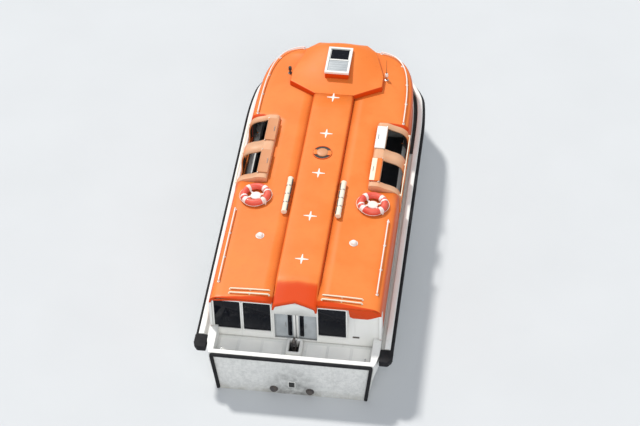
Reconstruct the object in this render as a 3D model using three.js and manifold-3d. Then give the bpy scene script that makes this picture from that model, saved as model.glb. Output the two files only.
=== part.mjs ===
// A rigid-canopy ship's lifeboat and tender, 11 m long, with its whole hull.
// Millimetres, +X to port, +Y aft, +Z up; the origin is amidships on the waterline.
// Lengths along the boat are given as s, the distance forward of the transom.
import * as THREE from 'three';
import { mergeVertices } from 'three/addons/utils/BufferGeometryUtils.js';
import Module from 'manifold-3d';

const wasm = await Module();
wasm.setup();

// Hull sizes
const LENGTH = 11000;
const TRANSOM_HALF = 1940;
const HALF_BEAM = 2040;
const SHEER_AFT = 1240;
const SHEER_BOW = 1550;
const STEM_HALF = 50;
const BOW_FULLNESS = 2.6;
const SEAT = 0.3;

// Inside of the hull and the decks
const CABIN_HALF = 1850;
const SOLE = 300;
const FORE_SOLE = { from: 8600, height: 850 };
const AFT_DECK = 950;
const FORE_DECK = 1330;
const BULWARK = 150;
const DECK_BREAK = 920;

// Skeg, shafts, propellers and rudders
const SKEG = { half: 45, bottom: -860, from: 1500, to: 8500 };
const SHAFT_X = 650;
const SHAFT_RAKE = THREE.MathUtils.degToRad(6);
const PROPELLER = { s: 900, z: -600, radius: 230, hub: 48, hubLength: 190 };
const SHAFT = { radius: 25, length: 1700, bore: 25.7, log: 32 };
const BRACKET = { from: 230, to: 350, radius: 55, strut: 18 };
const RUDDER = { s: 400, top: -385, foot: -810, ahead: 110, astern: 270, half: 20, stock: 30 };
const RUDDER_BOSS = { radius: 75, bottom: -375, top: -200 };

// Canopy sizes
const CANOPY = { half: 2030, aft: 800, front: 10180, taper: 6500, fullness: 4, wall: 45 };
const SPINE = { half: 530, lip: 600, lipTop: 2070, rise: 1440, top: 2450, end: 8050, notch: 860 };
const DOME = { shoulder: 8480, half: 1200, lamp: 8900, cheek: 9780, cheekHalf: 840, frontHalf: 570, front: 10060, top: 2660 };

// Aft bulkhead, its windows and its doors
const BULKHEAD = { aft: 850, fore: 910 };
const WINDOW = { low: 1275, high: 2075, frame: 40, proud: 18, glass: 8 };
const DOORWAY = { half: 500, low: 985, high: 1830 };
const DOOR = { aft: 920, thick: 30, lap: 20, middle: 6 };

// Openings in the flat front of the canopy
const BOW_DOOR = { half: 280, low: 1635, high: 2010, lap: 20, face: CANOPY.front + 8, thick: 26, hinge: 322, lug: 24 };
const BOW_WINDOW = { inner: 430, outer: 820, low: 1690, high: 1990 };

// Side housings over the boarding places, and their roof lids
const HOUSING = { inner: 1250, outer: 2070, from: 4780, to: 7220, top: 2420, sill: 1560, wall: 45, ridge: 60 };
const GATE = { inner: 1530, low: 1660 };
const GATES = [{ name: 'aft', from: 4970, to: 5770 }, { name: 'fore', from: 6170, to: 6950 }];
const LID = { hinge: 1505, reach: 245, thick: 30, lift: 5, barrel: 12, lug: 24 };

// Rubbing strake and fenders: sections as [offset out of the hull side, height above the sheer]
const STRAKE_FROM = 560;
const STRAKE = [[SEAT, -330], [230, -280], [230, 0], [125, 0], [125, -130], [SEAT, -130]];
const FENDER = [[230 + SEAT, -210], [280, -230], [300, -200], [300, -90], [280, -60], [230 + SEAT, -70]];
const CORNER_FENDER = { from: 150, low: -160, high: -5 };
const TRANSOM_FENDER = { width: 85, proud: 70, low: 60 };

// Deck gear
const BUOY = { s: 4240, x: 1440, ring: 290, tube: 85 };
const TUBE = { from: 3650, to: 4860, x: 660, radius: 72 };
const VENT = { s: 5810, radius: 205, height: 55 };
const LIGHT_POST = { s: 8950, x: 1265, radius: 30, height: 190, lamp: 46 };
const ANTENNA = { radius: 8, height: 480 };
const RAIL = { radius: 16, x: 1850, corner: 900, front: 9960, height: 2330, foot: 2200, post: 13 };
const HATCH = { from: 8600, to: 9620, half: 315, rim: 60, step: 22, height: 60, split: 9130 };
const HOOK = { half: 25, cheek: 20, gap: 6, pin: 21.6, eye: 22.3 };
const COAMING = { half: 210, from: 330, to: 780, top: 1110, wellHalf: 100, wellFrom: 380, wellTo: 740, wellDepth: 100 };

// Inside of the cabin
const BENCH = { inner: 1350, from: 1500, to: 8500, top: 740 };
const ENGINE = { inner: 350, outer: 950, from: 1550, to: 2650, top: 1000 };
const HELM = { half: 320, from: 8720, to: 9650, plate: 30, seatHalf: 200, seatTo: 8980, seat: 420, desk: 9420, top: 1650 };

const COLOURS = {
  orange: { color: 0xf26a21, roughness: 0.45, metalness: 0 },
  white: { color: 0xe9e9e4, roughness: 0.4, metalness: 0 },
  cream: { color: 0xe8d9b4, roughness: 0.5, metalness: 0 },
  grey: { color: 0x9ea1a0, roughness: 0.55, metalness: 0 },
  rubber: { color: 0x17181a, roughness: 0.8, metalness: 0 },
  glass: { color: 0x11151a, roughness: 0.08, metalness: 0 },
  steel: { color: 0xa9adb0, roughness: 0.35, metalness: 1 },
  bronze: { color: 0xa87b45, roughness: 0.4, metalness: 1 },
  buoy: { color: 0xd8301c, roughness: 0.55, metalness: 0 },
  engine: { color: 0x5c6a70, roughness: 0.6, metalness: 0.2 },
};

const lifeboat = new THREE.Group();
const sides = [{ name: 'port', sign: 1 }, { name: 'starboard', sign: -1 }];
const toY = (s) => LENGTH / 2 - s;
const sheer = (s) => SHEER_AFT + ((SHEER_BOW - SHEER_AFT) * s) / LENGTH;

// Turning geometry into solids and back
function solidOf(geometry) {
  const bare = geometry.clone();
  bare.deleteAttribute('normal');
  bare.deleteAttribute('uv');
  const merged = mergeVertices(bare, 1e-3);
  const triVerts = Uint32Array.from(merged.index.array);
  return new wasm.Manifold(new wasm.Mesh({ numProp: 3, vertProperties: merged.attributes.position.array, triVerts }));
}

function geometryOf(solid) {
  const mesh = solid.getMesh();
  const geometry = new THREE.BufferGeometry();
  geometry.setAttribute('position', new THREE.BufferAttribute(mesh.vertProperties, 3));
  geometry.setIndex(new THREE.BufferAttribute(mesh.triVerts, 1));
  return geometry;
}

const join = (first, ...others) => others.reduce((whole, other) => whole.add(other), first);
const cut = (first, ...others) => others.reduce((whole, other) => whole.subtract(other), first);
const common = (first, ...others) => others.reduce((whole, other) => whole.intersect(other), first);

function addNode(name, solid, finish) {
  const geometry = geometryOf(solid);
  const material = new THREE.MeshStandardMaterial(COLOURS[finish]);
  const mesh = new THREE.Mesh(geometry, material);
  mesh.name = name;
  lifeboat.add(mesh);
  return mesh;
}

// Prisms: an outline carried straight along one axis
function extruded(outline, depth, basis) {
  const shape = new THREE.Shape(outline.map(([u, v]) => new THREE.Vector2(u, v)));
  const geometry = new THREE.ExtrudeGeometry(shape, { depth, bevelEnabled: false });
  return solidOf(geometry.applyMatrix4(basis));
}

// Outline of [x, s] pairs, carried up from z0 to z1
function upward(outline, z0, z1) {
  const basis = new THREE.Matrix4().makeTranslation(0, 0, z0);
  return extruded(outline.map(([x, s]) => [x, toY(s)]), z1 - z0, basis);
}

// Outline of [x, z] pairs, carried forward from s0 to s1
function forward(outline, s0, s1) {
  const basis = new THREE.Matrix4().makeBasis(
    new THREE.Vector3(1, 0, 0), new THREE.Vector3(0, 0, 1), new THREE.Vector3(0, -1, 0));
  basis.setPosition(0, toY(s0), 0);
  return extruded(outline, s1 - s0, basis);
}

// Outline of [s, z] pairs, carried to port from x0 to x1
function sideways(outline, x0, x1) {
  const basis = new THREE.Matrix4().makeBasis(
    new THREE.Vector3(0, 1, 0), new THREE.Vector3(0, 0, 1), new THREE.Vector3(1, 0, 0));
  basis.setPosition(x0, 0, 0);
  return extruded(outline.map(([s, z]) => [toY(s), z]), x1 - x0, basis);
}

// A box between two corners, given as x, s and z ranges
function block([x0, x1], [s0, s1], [z0, z1]) {
  const geometry = new THREE.BoxGeometry(Math.abs(x1 - x0), Math.abs(s1 - s0), Math.abs(z1 - z0));
  return solidOf(geometry.translate((x0 + x1) / 2, toY((s0 + s1) / 2), (z0 + z1) / 2));
}

// A round bar from one [x, s, z] point to another
function bar(from, to, radius, facets = 10, endRadius = radius) {
  const a = new THREE.Vector3(from[0], toY(from[1]), from[2]);
  const b = new THREE.Vector3(to[0], toY(to[1]), to[2]);
  const geometry = new THREE.CylinderGeometry(endRadius, radius, a.distanceTo(b), facets);
  const turn = new THREE.Quaternion().setFromUnitVectors(new THREE.Vector3(0, 1, 0), b.clone().sub(a).normalize());
  return solidOf(geometry.applyQuaternion(turn).translate((a.x + b.x) / 2, (a.y + b.y) / 2, (a.z + b.z) / 2));
}

// A round tube bent along a smooth line through [x, s, z] points
function bentBar(points, radius, steps) {
  const path = new THREE.CatmullRomCurve3(points.map(([x, s, z]) => new THREE.Vector3(x, toY(s), z)));
  const section = new THREE.Shape();
  section.absarc(0, 0, radius, 0, Math.PI * 2);
  return solidOf(new THREE.ExtrudeGeometry(section, { steps, extrudePath: path, curveSegments: 4 }));
}

// A body through rings of points that all have the same corners; fill lists the triangles of its two ends
function loft(rings, fill) {
  const count = rings[0].length;
  const last = (rings.length - 1) * count;
  const index = [];
  for (let ring = 0; ring < rings.length - 1; ring += 1) {
    for (let corner = 0; corner < count; corner += 1) {
      const a = ring * count + corner;
      const b = ring * count + ((corner + 1) % count);
      index.push(a, b, b + count, a, b + count, a + count);
    }
  }
  fill.forEach(([a, b, c]) => index.push(a, c, b, last + a, last + b, last + c));
  const geometry = new THREE.BufferGeometry();
  geometry.setAttribute('position', new THREE.Float32BufferAttribute(rings.flat(2), 3));
  geometry.setIndex(index);
  const solid = solidOf(geometry);
  if (solid.volume() > 0) {
    return solid;
  }
  geometry.setIndex(index.reverse());
  return solidOf(geometry);
}

// Hull levels from the keel up: heights at the transom, amidships and the bow end, half-breadths at
// the transom and amidships, the length over which it widens from the transom, where the bow draws in
// and where it ends. The two top levels follow the sheer.
const HULL_LEVELS = [
  { aft: -300, middle: -560, bow: -330, aftHalf: 50, half: 50, run: 3200, bowFrom: 8300, bowEnd: 9550 },
  { aft: -270, middle: -470, bow: -300, aftHalf: 800, half: 780, run: 3200, bowFrom: 6900, bowEnd: 9650 },
  { aft: -215, middle: -380, bow: -250, aftHalf: 1450, half: 1460, run: 3200, bowFrom: 7200, bowEnd: 9800 },
  { aft: -110, middle: -210, bow: -130, aftHalf: 1740, half: 1800, run: 3200, bowFrom: 7500, bowEnd: 10000 },
  { aft: 60, middle: 20, bow: 60, aftHalf: 1800, half: 1910, run: 2600, bowFrom: 7700, bowEnd: 10280 },
  { aft: 500, middle: 470, bow: 560, aftHalf: 1860, half: 1980, run: 1600, bowFrom: 7900, bowEnd: 10660 },
  { drop: 340, aftHalf: 1925, half: HALF_BEAM, run: 500, bowFrom: 7800, bowEnd: LENGTH },
  { drop: 0, aftHalf: TRANSOM_HALF, half: HALF_BEAM, run: 500, bowFrom: 7800, bowEnd: LENGTH },
];
const HULL_STATIONS = [0, 0.05, 0.15, 0.32, 0.5, 0.68, 0.76, 0.82, 0.87, 0.91, 0.945, 0.97, 0.99, 1];

function halfBreadth(level, s) {
  const run = Math.min(s / level.run, 1);
  const body = level.aftHalf + (level.half - level.aftHalf) * run * (2 - run);
  const entry = Math.min(Math.max((s - level.bowFrom) / (level.bowEnd - level.bowFrom), 0), 1);
  return Math.max(body * (1 - entry ** BOW_FULLNESS) ** (1 / BOW_FULLNESS), STEM_HALF);
}

function levelHeight(level, s, along) {
  if (level.drop !== undefined) {
    return sheer(s) - level.drop;
  }
  const end = along < 0.5 ? level.aft : level.bow;
  return level.middle + (end - level.middle) * Math.abs(2 * along - 1) ** 2.5;
}

function hullShell() {
  const rings = HULL_STATIONS.map((along) => {
    const port = HULL_LEVELS.map((level) => {
      const s = along * level.bowEnd;
      return [halfBreadth(level, s), toY(s), levelHeight(level, s, along)];
    });
    return [...port].reverse().concat(port.map(([x, y, z]) => [-x, y, z]));
  });
  const count = rings[0].length;
  const fill = [];
  for (let i = 0; i < count / 2 - 1; i += 1) {
    fill.push([i, i + 1, count - 1 - i], [i + 1, count - 2 - i, count - 1 - i]);
  }
  return loft(rings, fill);
}

// Sheer line in plan, port side, with the outward direction at each corner so that offsets stay parallel
const SHEER_LEVEL = HULL_LEVELS[HULL_LEVELS.length - 1];
function sheerPath(fromS) {
  const stations = HULL_STATIONS.map((along) => along * LENGTH).filter((s) => s > fromS);
  const points = [fromS, ...stations].map((s) => [halfBreadth(SHEER_LEVEL, s), s]);
  points.push([SEAT, LENGTH]);
  const normals = points.slice(1).map(([x, s], i) => {
    const length = Math.hypot(x - points[i][0], s - points[i][1]);
    return [(s - points[i][1]) / length, (points[i][0] - x) / length];
  });
  return points.map(([x, s], i) => {
    const before = normals[Math.max(i - 1, 0)];
    const after = normals[Math.min(i, normals.length - 1)];
    const spread = 1 + before[0] * after[0] + before[1] * after[1];
    return { x, s, out: [(before[0] + after[0]) / spread, (before[1] + after[1]) / spread] };
  });
}

// A strip that follows the sheer line on one side, with its section given by offset and height
function sheerStrip(section, fromS, sign) {
  const rings = sheerPath(fromS).map(({ x, s, out }) => section.map(([offset, height]) => {
    const forwardS = s + out[1] * offset;
    return [sign * (x + out[0] * offset), toY(forwardS), sheer(s) + height];
  }));
  const fill = THREE.ShapeUtils.triangulateShape(section.map(([u, v]) => new THREE.Vector2(u, v)), []);
  return loft(rings, fill);
}

// Canopy section: half-width, height, and the way out of the surface there
const CANOPY_SECTION = [
  { x: CANOPY.half, z: 900, outX: 1, outZ: 0 },
  { x: CANOPY.half, z: 2060, outX: 1, outZ: 0.15 },
  { x: 2012, z: 2145, outX: 0.9, outZ: 0.5 },
  { x: 1960, z: 2208, outX: 0.6, outZ: 0.8 },
  { x: 1865, z: 2254, outX: 0.2, outZ: 1 },
  { x: SPINE.half, z: 2330, outX: 0, outZ: 1 },
];
// Canopy side view: distance forward of the transom, height, and the way out
const CANOPY_PROFILE = [
  { s: 800, z: 2120, outS: 0, outZ: 1 },
  { s: 900, z: 2205, outS: 0, outZ: 1 },
  { s: 1060, z: 2295, outS: 0, outZ: 1 },
  { s: 1260, z: 2340, outS: 0, outZ: 1 },
  { s: 9740, z: 2340, outS: 0, outZ: 1 },
  { s: 9950, z: 2300, outS: 0.3, outZ: 1 },
  { s: 10095, z: 2210, outS: 0.7, outZ: 0.7 },
  { s: CANOPY.front, z: 2060, outS: 1, outZ: 0.3 },
];

// Height of the side roof at a distance from the centreline
function roofAt(x) {
  const [edge, crown] = CANOPY_SECTION.slice(-2);
  return crown.z + ((edge.z - crown.z) * (x - crown.x)) / (edge.x - crown.x);
}

// Slope of the side roofs, down from the spine to the edge
const ROOF_SLOPE = (CANOPY_SECTION[5].z - CANOPY_SECTION[4].z) / (CANOPY_SECTION[4].x - CANOPY_SECTION[5].x);

// Plan of the canopy: straight sides, and a fore end that follows a superellipse to a flat front
const FRONT_ANGLES = [0, 20, 38, 52, 63, 72, 79, 84.5];
function canopyPlan(inset, aft) {
  const half = CANOPY.half - inset;
  const reach = CANOPY.front - CANOPY.taper - inset;
  const port = FRONT_ANGLES.map((degrees) => {
    const angle = THREE.MathUtils.degToRad(degrees);
    const bend = 2 / CANOPY.fullness;
    return [half * Math.cos(angle) ** bend, CANOPY.taper + reach * Math.sin(angle) ** bend];
  });
  port.unshift([half, aft]);
  return port.concat([...port].reverse().map(([x, s]) => [-x, s]));
}

// The canopy without its raised spine, drawn in by an inset; aft and low set where it is cut off
function canopyBody(inset, aft, lowAft, lowFore) {
  const section = CANOPY_SECTION.map(({ x, z, outX, outZ }) => [x - outX * inset, z - outZ * inset]);
  const profile = CANOPY_PROFILE.map(({ s, z, outS, outZ }) => [s - outS * inset, z - outZ * inset]);
  profile[0][0] = aft;
  const tip = profile[profile.length - 1];
  return common(
    forward(section.concat([...section].reverse().map(([x, z]) => [-x, z])), aft - 10, CANOPY.front + 10),
    sideways([[aft, lowAft], ...profile, [tip[0], lowFore]], -2100, 2100),
    upward(canopyPlan(inset, aft), 200, 2400));
}

function spineBody(inset, lip, low) {
  const half = SPINE.half - inset;
  const top = SPINE.top - inset;
  const slope = (SPINE.top - SPINE.lipTop) / (SPINE.rise - SPINE.lip);
  const lipTop = SPINE.lipTop - inset + slope * (lip - SPINE.lip);
  const port = [[half, low], [half, 2310], [half - 20, top - 50], [half - 60, top]];
  return common(
    forward(port.concat([...port].reverse().map(([x, z]) => [-x, z])), lip, SPINE.end),
    sideways([[lip, low], [lip, lipTop], [SPINE.rise, top], [SPINE.end, top], [SPINE.end, low]], -600, 600));
}

const canopyInside = (inset) => join(canopyBody(inset, 500, 200, 200), spineBody(inset, 500, 1800));

// Hull with its decks, cabin, skeg, shaft brackets and rudder bosses
function hull() {
  const cabinPlan = canopyPlan(CANOPY.half - CABIN_HALF, DECK_BREAK);
  const cabin = join(
    upward(cabinPlan, FORE_SOLE.height, 1700),
    block([-CABIN_HALF, CABIN_HALF], [DECK_BREAK, FORE_SOLE.from], [SOLE, 1700]));
  const foreAft = CANOPY.front + 3;
  const foreWell = sheerPath(foreAft).map(({ x, s, out }) => [x - out[0] * BULWARK, s - out[1] * BULWARK]);
  const foreOutline = [[halfBreadth(SHEER_LEVEL, foreAft) - BULWARK, foreAft],
    ...foreWell.filter(([x, s]) => s > foreAft && x > 150)];
  const rim = block([-COAMING.half, COAMING.half], [COAMING.from, COAMING.to], [AFT_DECK - 10, COAMING.top]);
  const well = block([-COAMING.wellHalf, COAMING.wellHalf], [COAMING.wellFrom, COAMING.wellTo],
    [AFT_DECK - COAMING.wellDepth, COAMING.top + 10]);
  let body = join(
    hullShell(),
    sideways([[SKEG.from, -400], [SKEG.from, SKEG.bottom], [6600, SKEG.bottom], [SKEG.to, -500], [SKEG.to, -400]],
      -SKEG.half, SKEG.half));
  body = cut(body,
    cabin,
    block([-CABIN_HALF, CABIN_HALF], [120, DECK_BREAK + 1], [AFT_DECK, 1700]),
    upward(foreOutline.concat([...foreOutline].reverse().map(([x, s]) => [-x, s])), FORE_DECK, 1700));
  body = cut(join(body, rim), well);
  sides.forEach(({ sign }) => {
    const x = sign * SHAFT_X;
    const along = (distance) => [x, PROPELLER.s + distance * Math.cos(SHAFT_RAKE),
      PROPELLER.z + distance * Math.sin(SHAFT_RAKE)];
    const arm = along((BRACKET.from + BRACKET.to) / 2);
    body = join(body,
      bar([x, RUDDER.s, RUDDER_BOSS.bottom], [x, RUDDER.s, RUDDER_BOSS.top], RUDDER_BOSS.radius, 12),
      bar(along(BRACKET.from), along(BRACKET.to), BRACKET.radius, 12),
      block([x - BRACKET.strut, x + BRACKET.strut], [arm[1] - 45, arm[1] + 45], [arm[2] + 40, -200]));
    body = cut(body,
      bar(along(150), along(700), SHAFT.bore, 24),
      bar(along(700), along(SHAFT.length + 15), SHAFT.log, 12));
  });
  return body;
}

addNode('hull', hull(), 'white');

// Side fender: a strip along the strake and a thick block on the quarter, aft of the strake's end
function sideFender(sign) {
  const { from, low, high } = CORNER_FENDER;
  const inner = HALF_BEAM + SEAT;
  const outer = HALF_BEAM + FENDER[3][0];
  const block = upward([[inner, 500], [inner, STRAKE_FROM - SEAT], [outer, STRAKE_FROM - SEAT], [outer, from + 120],
    [outer - 90, from], [inner, from]].map(([x, s]) => [sign * x, s]), sheer(from) + low, sheer(from) + high);
  return join(sheerStrip(FENDER, STRAKE_FROM - 40, sign), block);
}

sides.forEach(({ name, sign }) => {
  addNode(`rubbing_strake_${name}`, sheerStrip(STRAKE, STRAKE_FROM, sign), 'white');
  addNode(`side_fender_${name}`, sideFender(sign), 'rubber');
});

// Transom fender: a bar along the top edge with a leg down each corner
function transomFender() {
  const top = SHEER_AFT - 5;
  const { width, proud, low } = TRANSOM_FENDER;
  const rail = block([-TRANSOM_HALF + 5, TRANSOM_HALF - 5], [-proud, -SEAT], [top - width, top]);
  return sides.reduce((whole, { sign }) => {
    const leg = forward([[sign * 1925, top - width], [sign * 1800, low], [sign * 1715, low], [sign * 1840, top - width]],
      -proud, -SEAT);
    return join(whole, leg, block([sign * 1840, sign * 1935], [-proud, -SEAT], [top - width - 20, top]));
  }, rail);
}
addNode('transom_fender', transomFender(), 'rubber');

// Canopy shell with its spine; open aft, and cut for the dome, the boarding places and the bow
const seatedLow = (s) => sheer(s) + SEAT;
function canopy() {
  const outer = join(
    canopyBody(0, CANOPY.aft, seatedLow(CANOPY.aft), seatedLow(CANOPY.front)),
    spineBody(0, SPINE.lip, 1960));
  let shell = cut(outer, canopyInside(CANOPY.wall),
    upward([[-SPINE.half - 10, SPINE.lip - 5], [SPINE.half + 10, SPINE.lip - 5], [0, SPINE.notch]], 1800, 2600),
    upward(domePlan(150), 2200, 2600),
    block([-BOW_DOOR.half, BOW_DOOR.half], [CANOPY.front - 100, CANOPY.front + 100], [BOW_DOOR.low, BOW_DOOR.high]));
  sides.forEach(({ sign }) => {
    const window = [sign * BOW_WINDOW.inner, sign * BOW_WINDOW.outer];
    shell = cut(shell,
      block([sign * 1400, sign * 2100], [HOUSING.from + 110, HOUSING.to - 110], [GATE.low - 40, 2500]),
      block(window, [CANOPY.front - 180, CANOPY.front + 100], [BOW_WINDOW.low, BOW_WINDOW.high]));
  });
  const { hinge, low, high, lap, face, thick, lug } = BOW_DOOR;
  [[low - lap - lug, low - lap - 0.4], [high + lap + 0.4, high + lap + lug]].forEach((range) => {
    shell = join(shell, block([hinge - 14, hinge + 14], [CANOPY.front - 20, face + thick], range));
  });
  return shell;
}

function domePlan(inset) {
  const port = [[SPINE.half - inset, SPINE.end + SEAT + inset], [DOME.half - inset, DOME.shoulder + inset * 0.6],
    [DOME.half - inset, DOME.lamp], [DOME.cheekHalf - inset, DOME.cheek - inset * 0.4],
    [DOME.frontHalf - inset * 0.7, DOME.front - inset]];
  return port.concat([...port].reverse().map(([x, s]) => [-x, s]));
}

// Helm dome: a raised cap over the fore end of the roof, open below, with a hatchway in its top
function domeBody(inset, low) {
  const top = DOME.top - inset;
  const profile = [[SPINE.end, low], [SPINE.end, SPINE.top - inset], [DOME.shoulder + 60, top], [9660, top],
    [9890, top - 60], [10010 - inset * 0.5, top - 190], [DOME.front - inset, top - 360], [DOME.front - inset, low]];
  return common(upward(domePlan(inset), low, DOME.top), sideways(profile, -1300, 1300));
}

function helmDome() {
  return cut(domeBody(0, 2150), domeBody(CANOPY.wall, 2000),
    canopyBody(-SEAT, 700, 200, 200),
    block([-HATCH.half + HATCH.rim + 20, HATCH.half - HATCH.rim - 20],
      [HATCH.from + HATCH.rim + 20, HATCH.to - HATCH.rim - 20], [2500, 2800]));
}
addNode('canopy', canopy(), 'orange');
addNode('helm_dome', helmDome(), 'orange');

// Side housings: raised hoods over the boarding places. Each gate is one opening that runs from the roof over
// the shoulder and down the side, so that hoops stand before, between and behind the two gates.
function housing(sign) {
  const { inner, outer, from, to, top, sill, wall, ridge } = HOUSING;
  const section = (inset) => [[inner + inset, 2200], [inner + inset, top - 40], [inner + 50, top - inset],
    [outer - 150, top - inset], [outer - 45 - inset * 0.6, top - 60 - inset * 0.4], [outer - inset, top - 170],
    [outer - inset, sill + 60], [outer - 40 - inset, sill], [1950, sill]].map(([x, z]) => [sign * x, z]);
  let shell = join(
    forward(section(0), from, to),
    bar([sign * (inner + 20), from + ridge, top - 15], [sign * (outer - 130), from + ridge, top - 15], ridge, 12));
  shell = cut(shell, forward(section(wall), from + wall, to - wall), canopyBody(-SEAT, 700, 200, 200));
  GATES.forEach((gate) => {
    shell = cut(shell, block([sign * GATE.inner, sign * (outer + 50)], [gate.from, gate.to], [GATE.low, top + 100]));
    [[gate.from - 10 - LID.lug, gate.from - 10], [gate.to + 10, gate.to + 10 + LID.lug]].forEach((range) => {
      shell = join(shell, block([sign * (LID.hinge - 14), sign * (LID.hinge + 14)], range, [top - 20, top + LID.lift + 28]));
    });
  });
  return shell;
}

// Roof lids: each lies open, turned inboard about a hinge beside its opening
function lid(gate, sign) {
  const low = HOUSING.top + LID.lift;
  const axis = low + LID.thick / 2;
  const ends = [gate.from - 10 + 0.4, gate.to + 10 - 0.4];
  return join(
    block([sign * (LID.hinge - 8), sign * (LID.hinge - LID.reach)], ends, [low, low + LID.thick]),
    bar([sign * LID.hinge, ends[0], axis], [sign * LID.hinge, ends[1], axis], LID.barrel, 12));
}

sides.forEach(({ name, sign }) => {
  addNode(`side_housing_${name}`, housing(sign), 'orange');
  GATES.forEach((gate) => {
    const finish = sign > 0 ? 'cream' : 'white';
    addNode(`roof_lid_${name}_${gate.name}`, lid(gate, sign), finish);
  });
});

// Aft bulkhead with window frames standing proud and a double doorway
const AFT_WINDOWS = [
  { name: 'port_outer', from: 1255, to: 1865 },
  { name: 'port_inner', from: 600, to: 1200 },
  { name: 'starboard', from: -1170, to: -560 },
];
function bulkhead() {
  const { aft, fore } = BULKHEAD;
  const slab = common(canopyInside(CANOPY.wall + SEAT), block([-2000, 2000], [aft, fore], [seatedLow(fore) + 1, 2500]));
  let wall = join(slab, block([-CABIN_HALF + SEAT, CABIN_HALF - SEAT], [aft, fore], [AFT_DECK + SEAT, seatedLow(fore) + 50]));
  AFT_WINDOWS.forEach(({ from, to }) => {
    const { low, high, frame, proud } = WINDOW;
    wall = join(wall, block([from, to], [aft - proud, aft + 5], [low, high]));
    wall = cut(wall, block([from + frame, to - frame], [aft - 50, fore + 50], [low + frame, high - frame]));
  });
  const frame = join(wall, block([-DOORWAY.half - 45, DOORWAY.half + 45], [aft - WINDOW.proud, aft + 5],
    [AFT_DECK + SEAT, DOORWAY.high + 45]));
  let doorway = cut(frame, block([-DOORWAY.half, DOORWAY.half], [aft - 50, fore + 50], [DOORWAY.low, DOORWAY.high]));
  sides.forEach(({ sign }) => {
    DOOR_LUGS.forEach(([z0, z1]) => {
      const x = sign * DOOR_AXIS.x;
      doorway = join(doorway, block([x - 12, x + 12], [fore - 2, DOOR_AXIS.s + 12], [z0, z1]));
    });
  });
  return doorway;
}

// Doors hang on the fore side of the bulkhead and swing into the cabin
const DOOR_AXIS = { x: DOORWAY.half + DOOR.lap + 14, s: DOOR.aft + DOOR.thick / 2 };
const DOOR_RANGE = [DOORWAY.low - 10, DOORWAY.high + DOOR.lap];
const DOOR_LUGS = [[DOOR_RANGE[0] - 24, DOOR_RANGE[0] - 0.4], [DOOR_RANGE[1] + 0.4, DOOR_RANGE[1] + 24]];
function aftDoor(sign) {
  const outer = DOORWAY.half + DOOR.lap;
  return join(
    block([sign * DOOR.middle, sign * (outer + 4)], [DOOR.aft, DOOR.aft + DOOR.thick], DOOR_RANGE),
    bar([sign * DOOR_AXIS.x, DOOR_AXIS.s, DOOR_RANGE[0]], [sign * DOOR_AXIS.x, DOOR_AXIS.s, DOOR_RANGE[1]], 12, 12));
}

addNode('aft_bulkhead', bulkhead(), 'white');
AFT_WINDOWS.forEach(({ name, from, to }) => {
  const { low, high, frame, glass } = WINDOW;
  const middle = (BULKHEAD.aft + BULKHEAD.fore) / 2;
  addNode(`aft_window_${name}`, block([from + frame + SEAT, to - frame - SEAT], [middle - glass / 2, middle + glass / 2],
    [low + frame + SEAT, high - frame - SEAT]), 'glass');
});
sides.forEach(({ name, sign }) => addNode(`aft_door_${name}`, aftDoor(sign), 'grey'));

// Bow door, hung on the outside of the canopy front, and the window on each side of it
function foreDoor() {
  const { half, low, high, lap, face, thick, hinge } = BOW_DOOR;
  const middle = face + thick / 2;
  return join(
    block([-half - lap, hinge - 6], [face, face + thick], [low - lap, high + lap]),
    bar([hinge, middle, low - lap], [hinge, middle, high + lap], 12, 12));
}
addNode('bow_door', foreDoor(), 'orange');
sides.forEach(({ name, sign }) => {
  const { inner, outer, low, high } = BOW_WINDOW;
  addNode(`bow_window_${name}`, block([sign * (inner + SEAT), sign * (outer - SEAT)], [CANOPY.front - 42, CANOPY.front - 34],
    [low + SEAT, high - SEAT]), 'glass');
});

// Helm hatch: a rim on the dome with a fixed pane in its fore half and a panel that slides over it
function hatchRim() {
  const { from, to, half, rim, step, height } = HATCH;
  const low = DOME.top + SEAT;
  return join(
    cut(block([-half, half], [from, to], [low, low + height]),
      block([-half + rim, half - rim], [from + rim, to - rim], [low - 10, low + height + 10])),
    ...sides.map(({ sign }) => block([sign * (half - rim - step), sign * (half - rim + 5)], [from + 10, to - 10],
      [low, low + 25])));
}
addNode('hatch_rim', hatchRim(), 'white');
const hatchInner = HATCH.half - HATCH.rim;
addNode('hatch_pane', block([-hatchInner + HATCH.step + SEAT, hatchInner - HATCH.step - SEAT],
  [HATCH.split, HATCH.to - HATCH.rim - SEAT], [DOME.top + 8, DOME.top + 18]), 'glass');
addNode('hatch_panel', block([-hatchInner + 5, hatchInner - 5], [HATCH.from + HATCH.rim + 6, HATCH.split + 5],
  [DOME.top + 25 + 2 * SEAT, DOME.top + 45]), 'grey');

// Lifebuoys lie flat on the side roofs
sides.forEach(({ name, sign }) => {
  const profile = [];
  for (let corner = 0; corner <= 8; corner += 1) {
    const angle = ((corner + 0.5) / 8) * Math.PI * 2;
    profile.push(new THREE.Vector2(BUOY.ring + BUOY.tube * Math.cos(angle), BUOY.tube * Math.sin(angle)));
  }
  const ring = new THREE.LatheGeometry(profile, 20);
  const slope = Math.atan(ROOF_SLOPE);
  const rest = BUOY.tube * Math.cos(Math.PI / 8) + 2 * SEAT;
  ring.rotateX(Math.PI / 2).rotateY(sign * slope);
  ring.translate(sign * BUOY.x, toY(BUOY.s), roofAt(BUOY.x) + rest / Math.cos(slope));
  addNode(`lifebuoy_${name}`, solidOf(ring), 'buoy');
});

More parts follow.
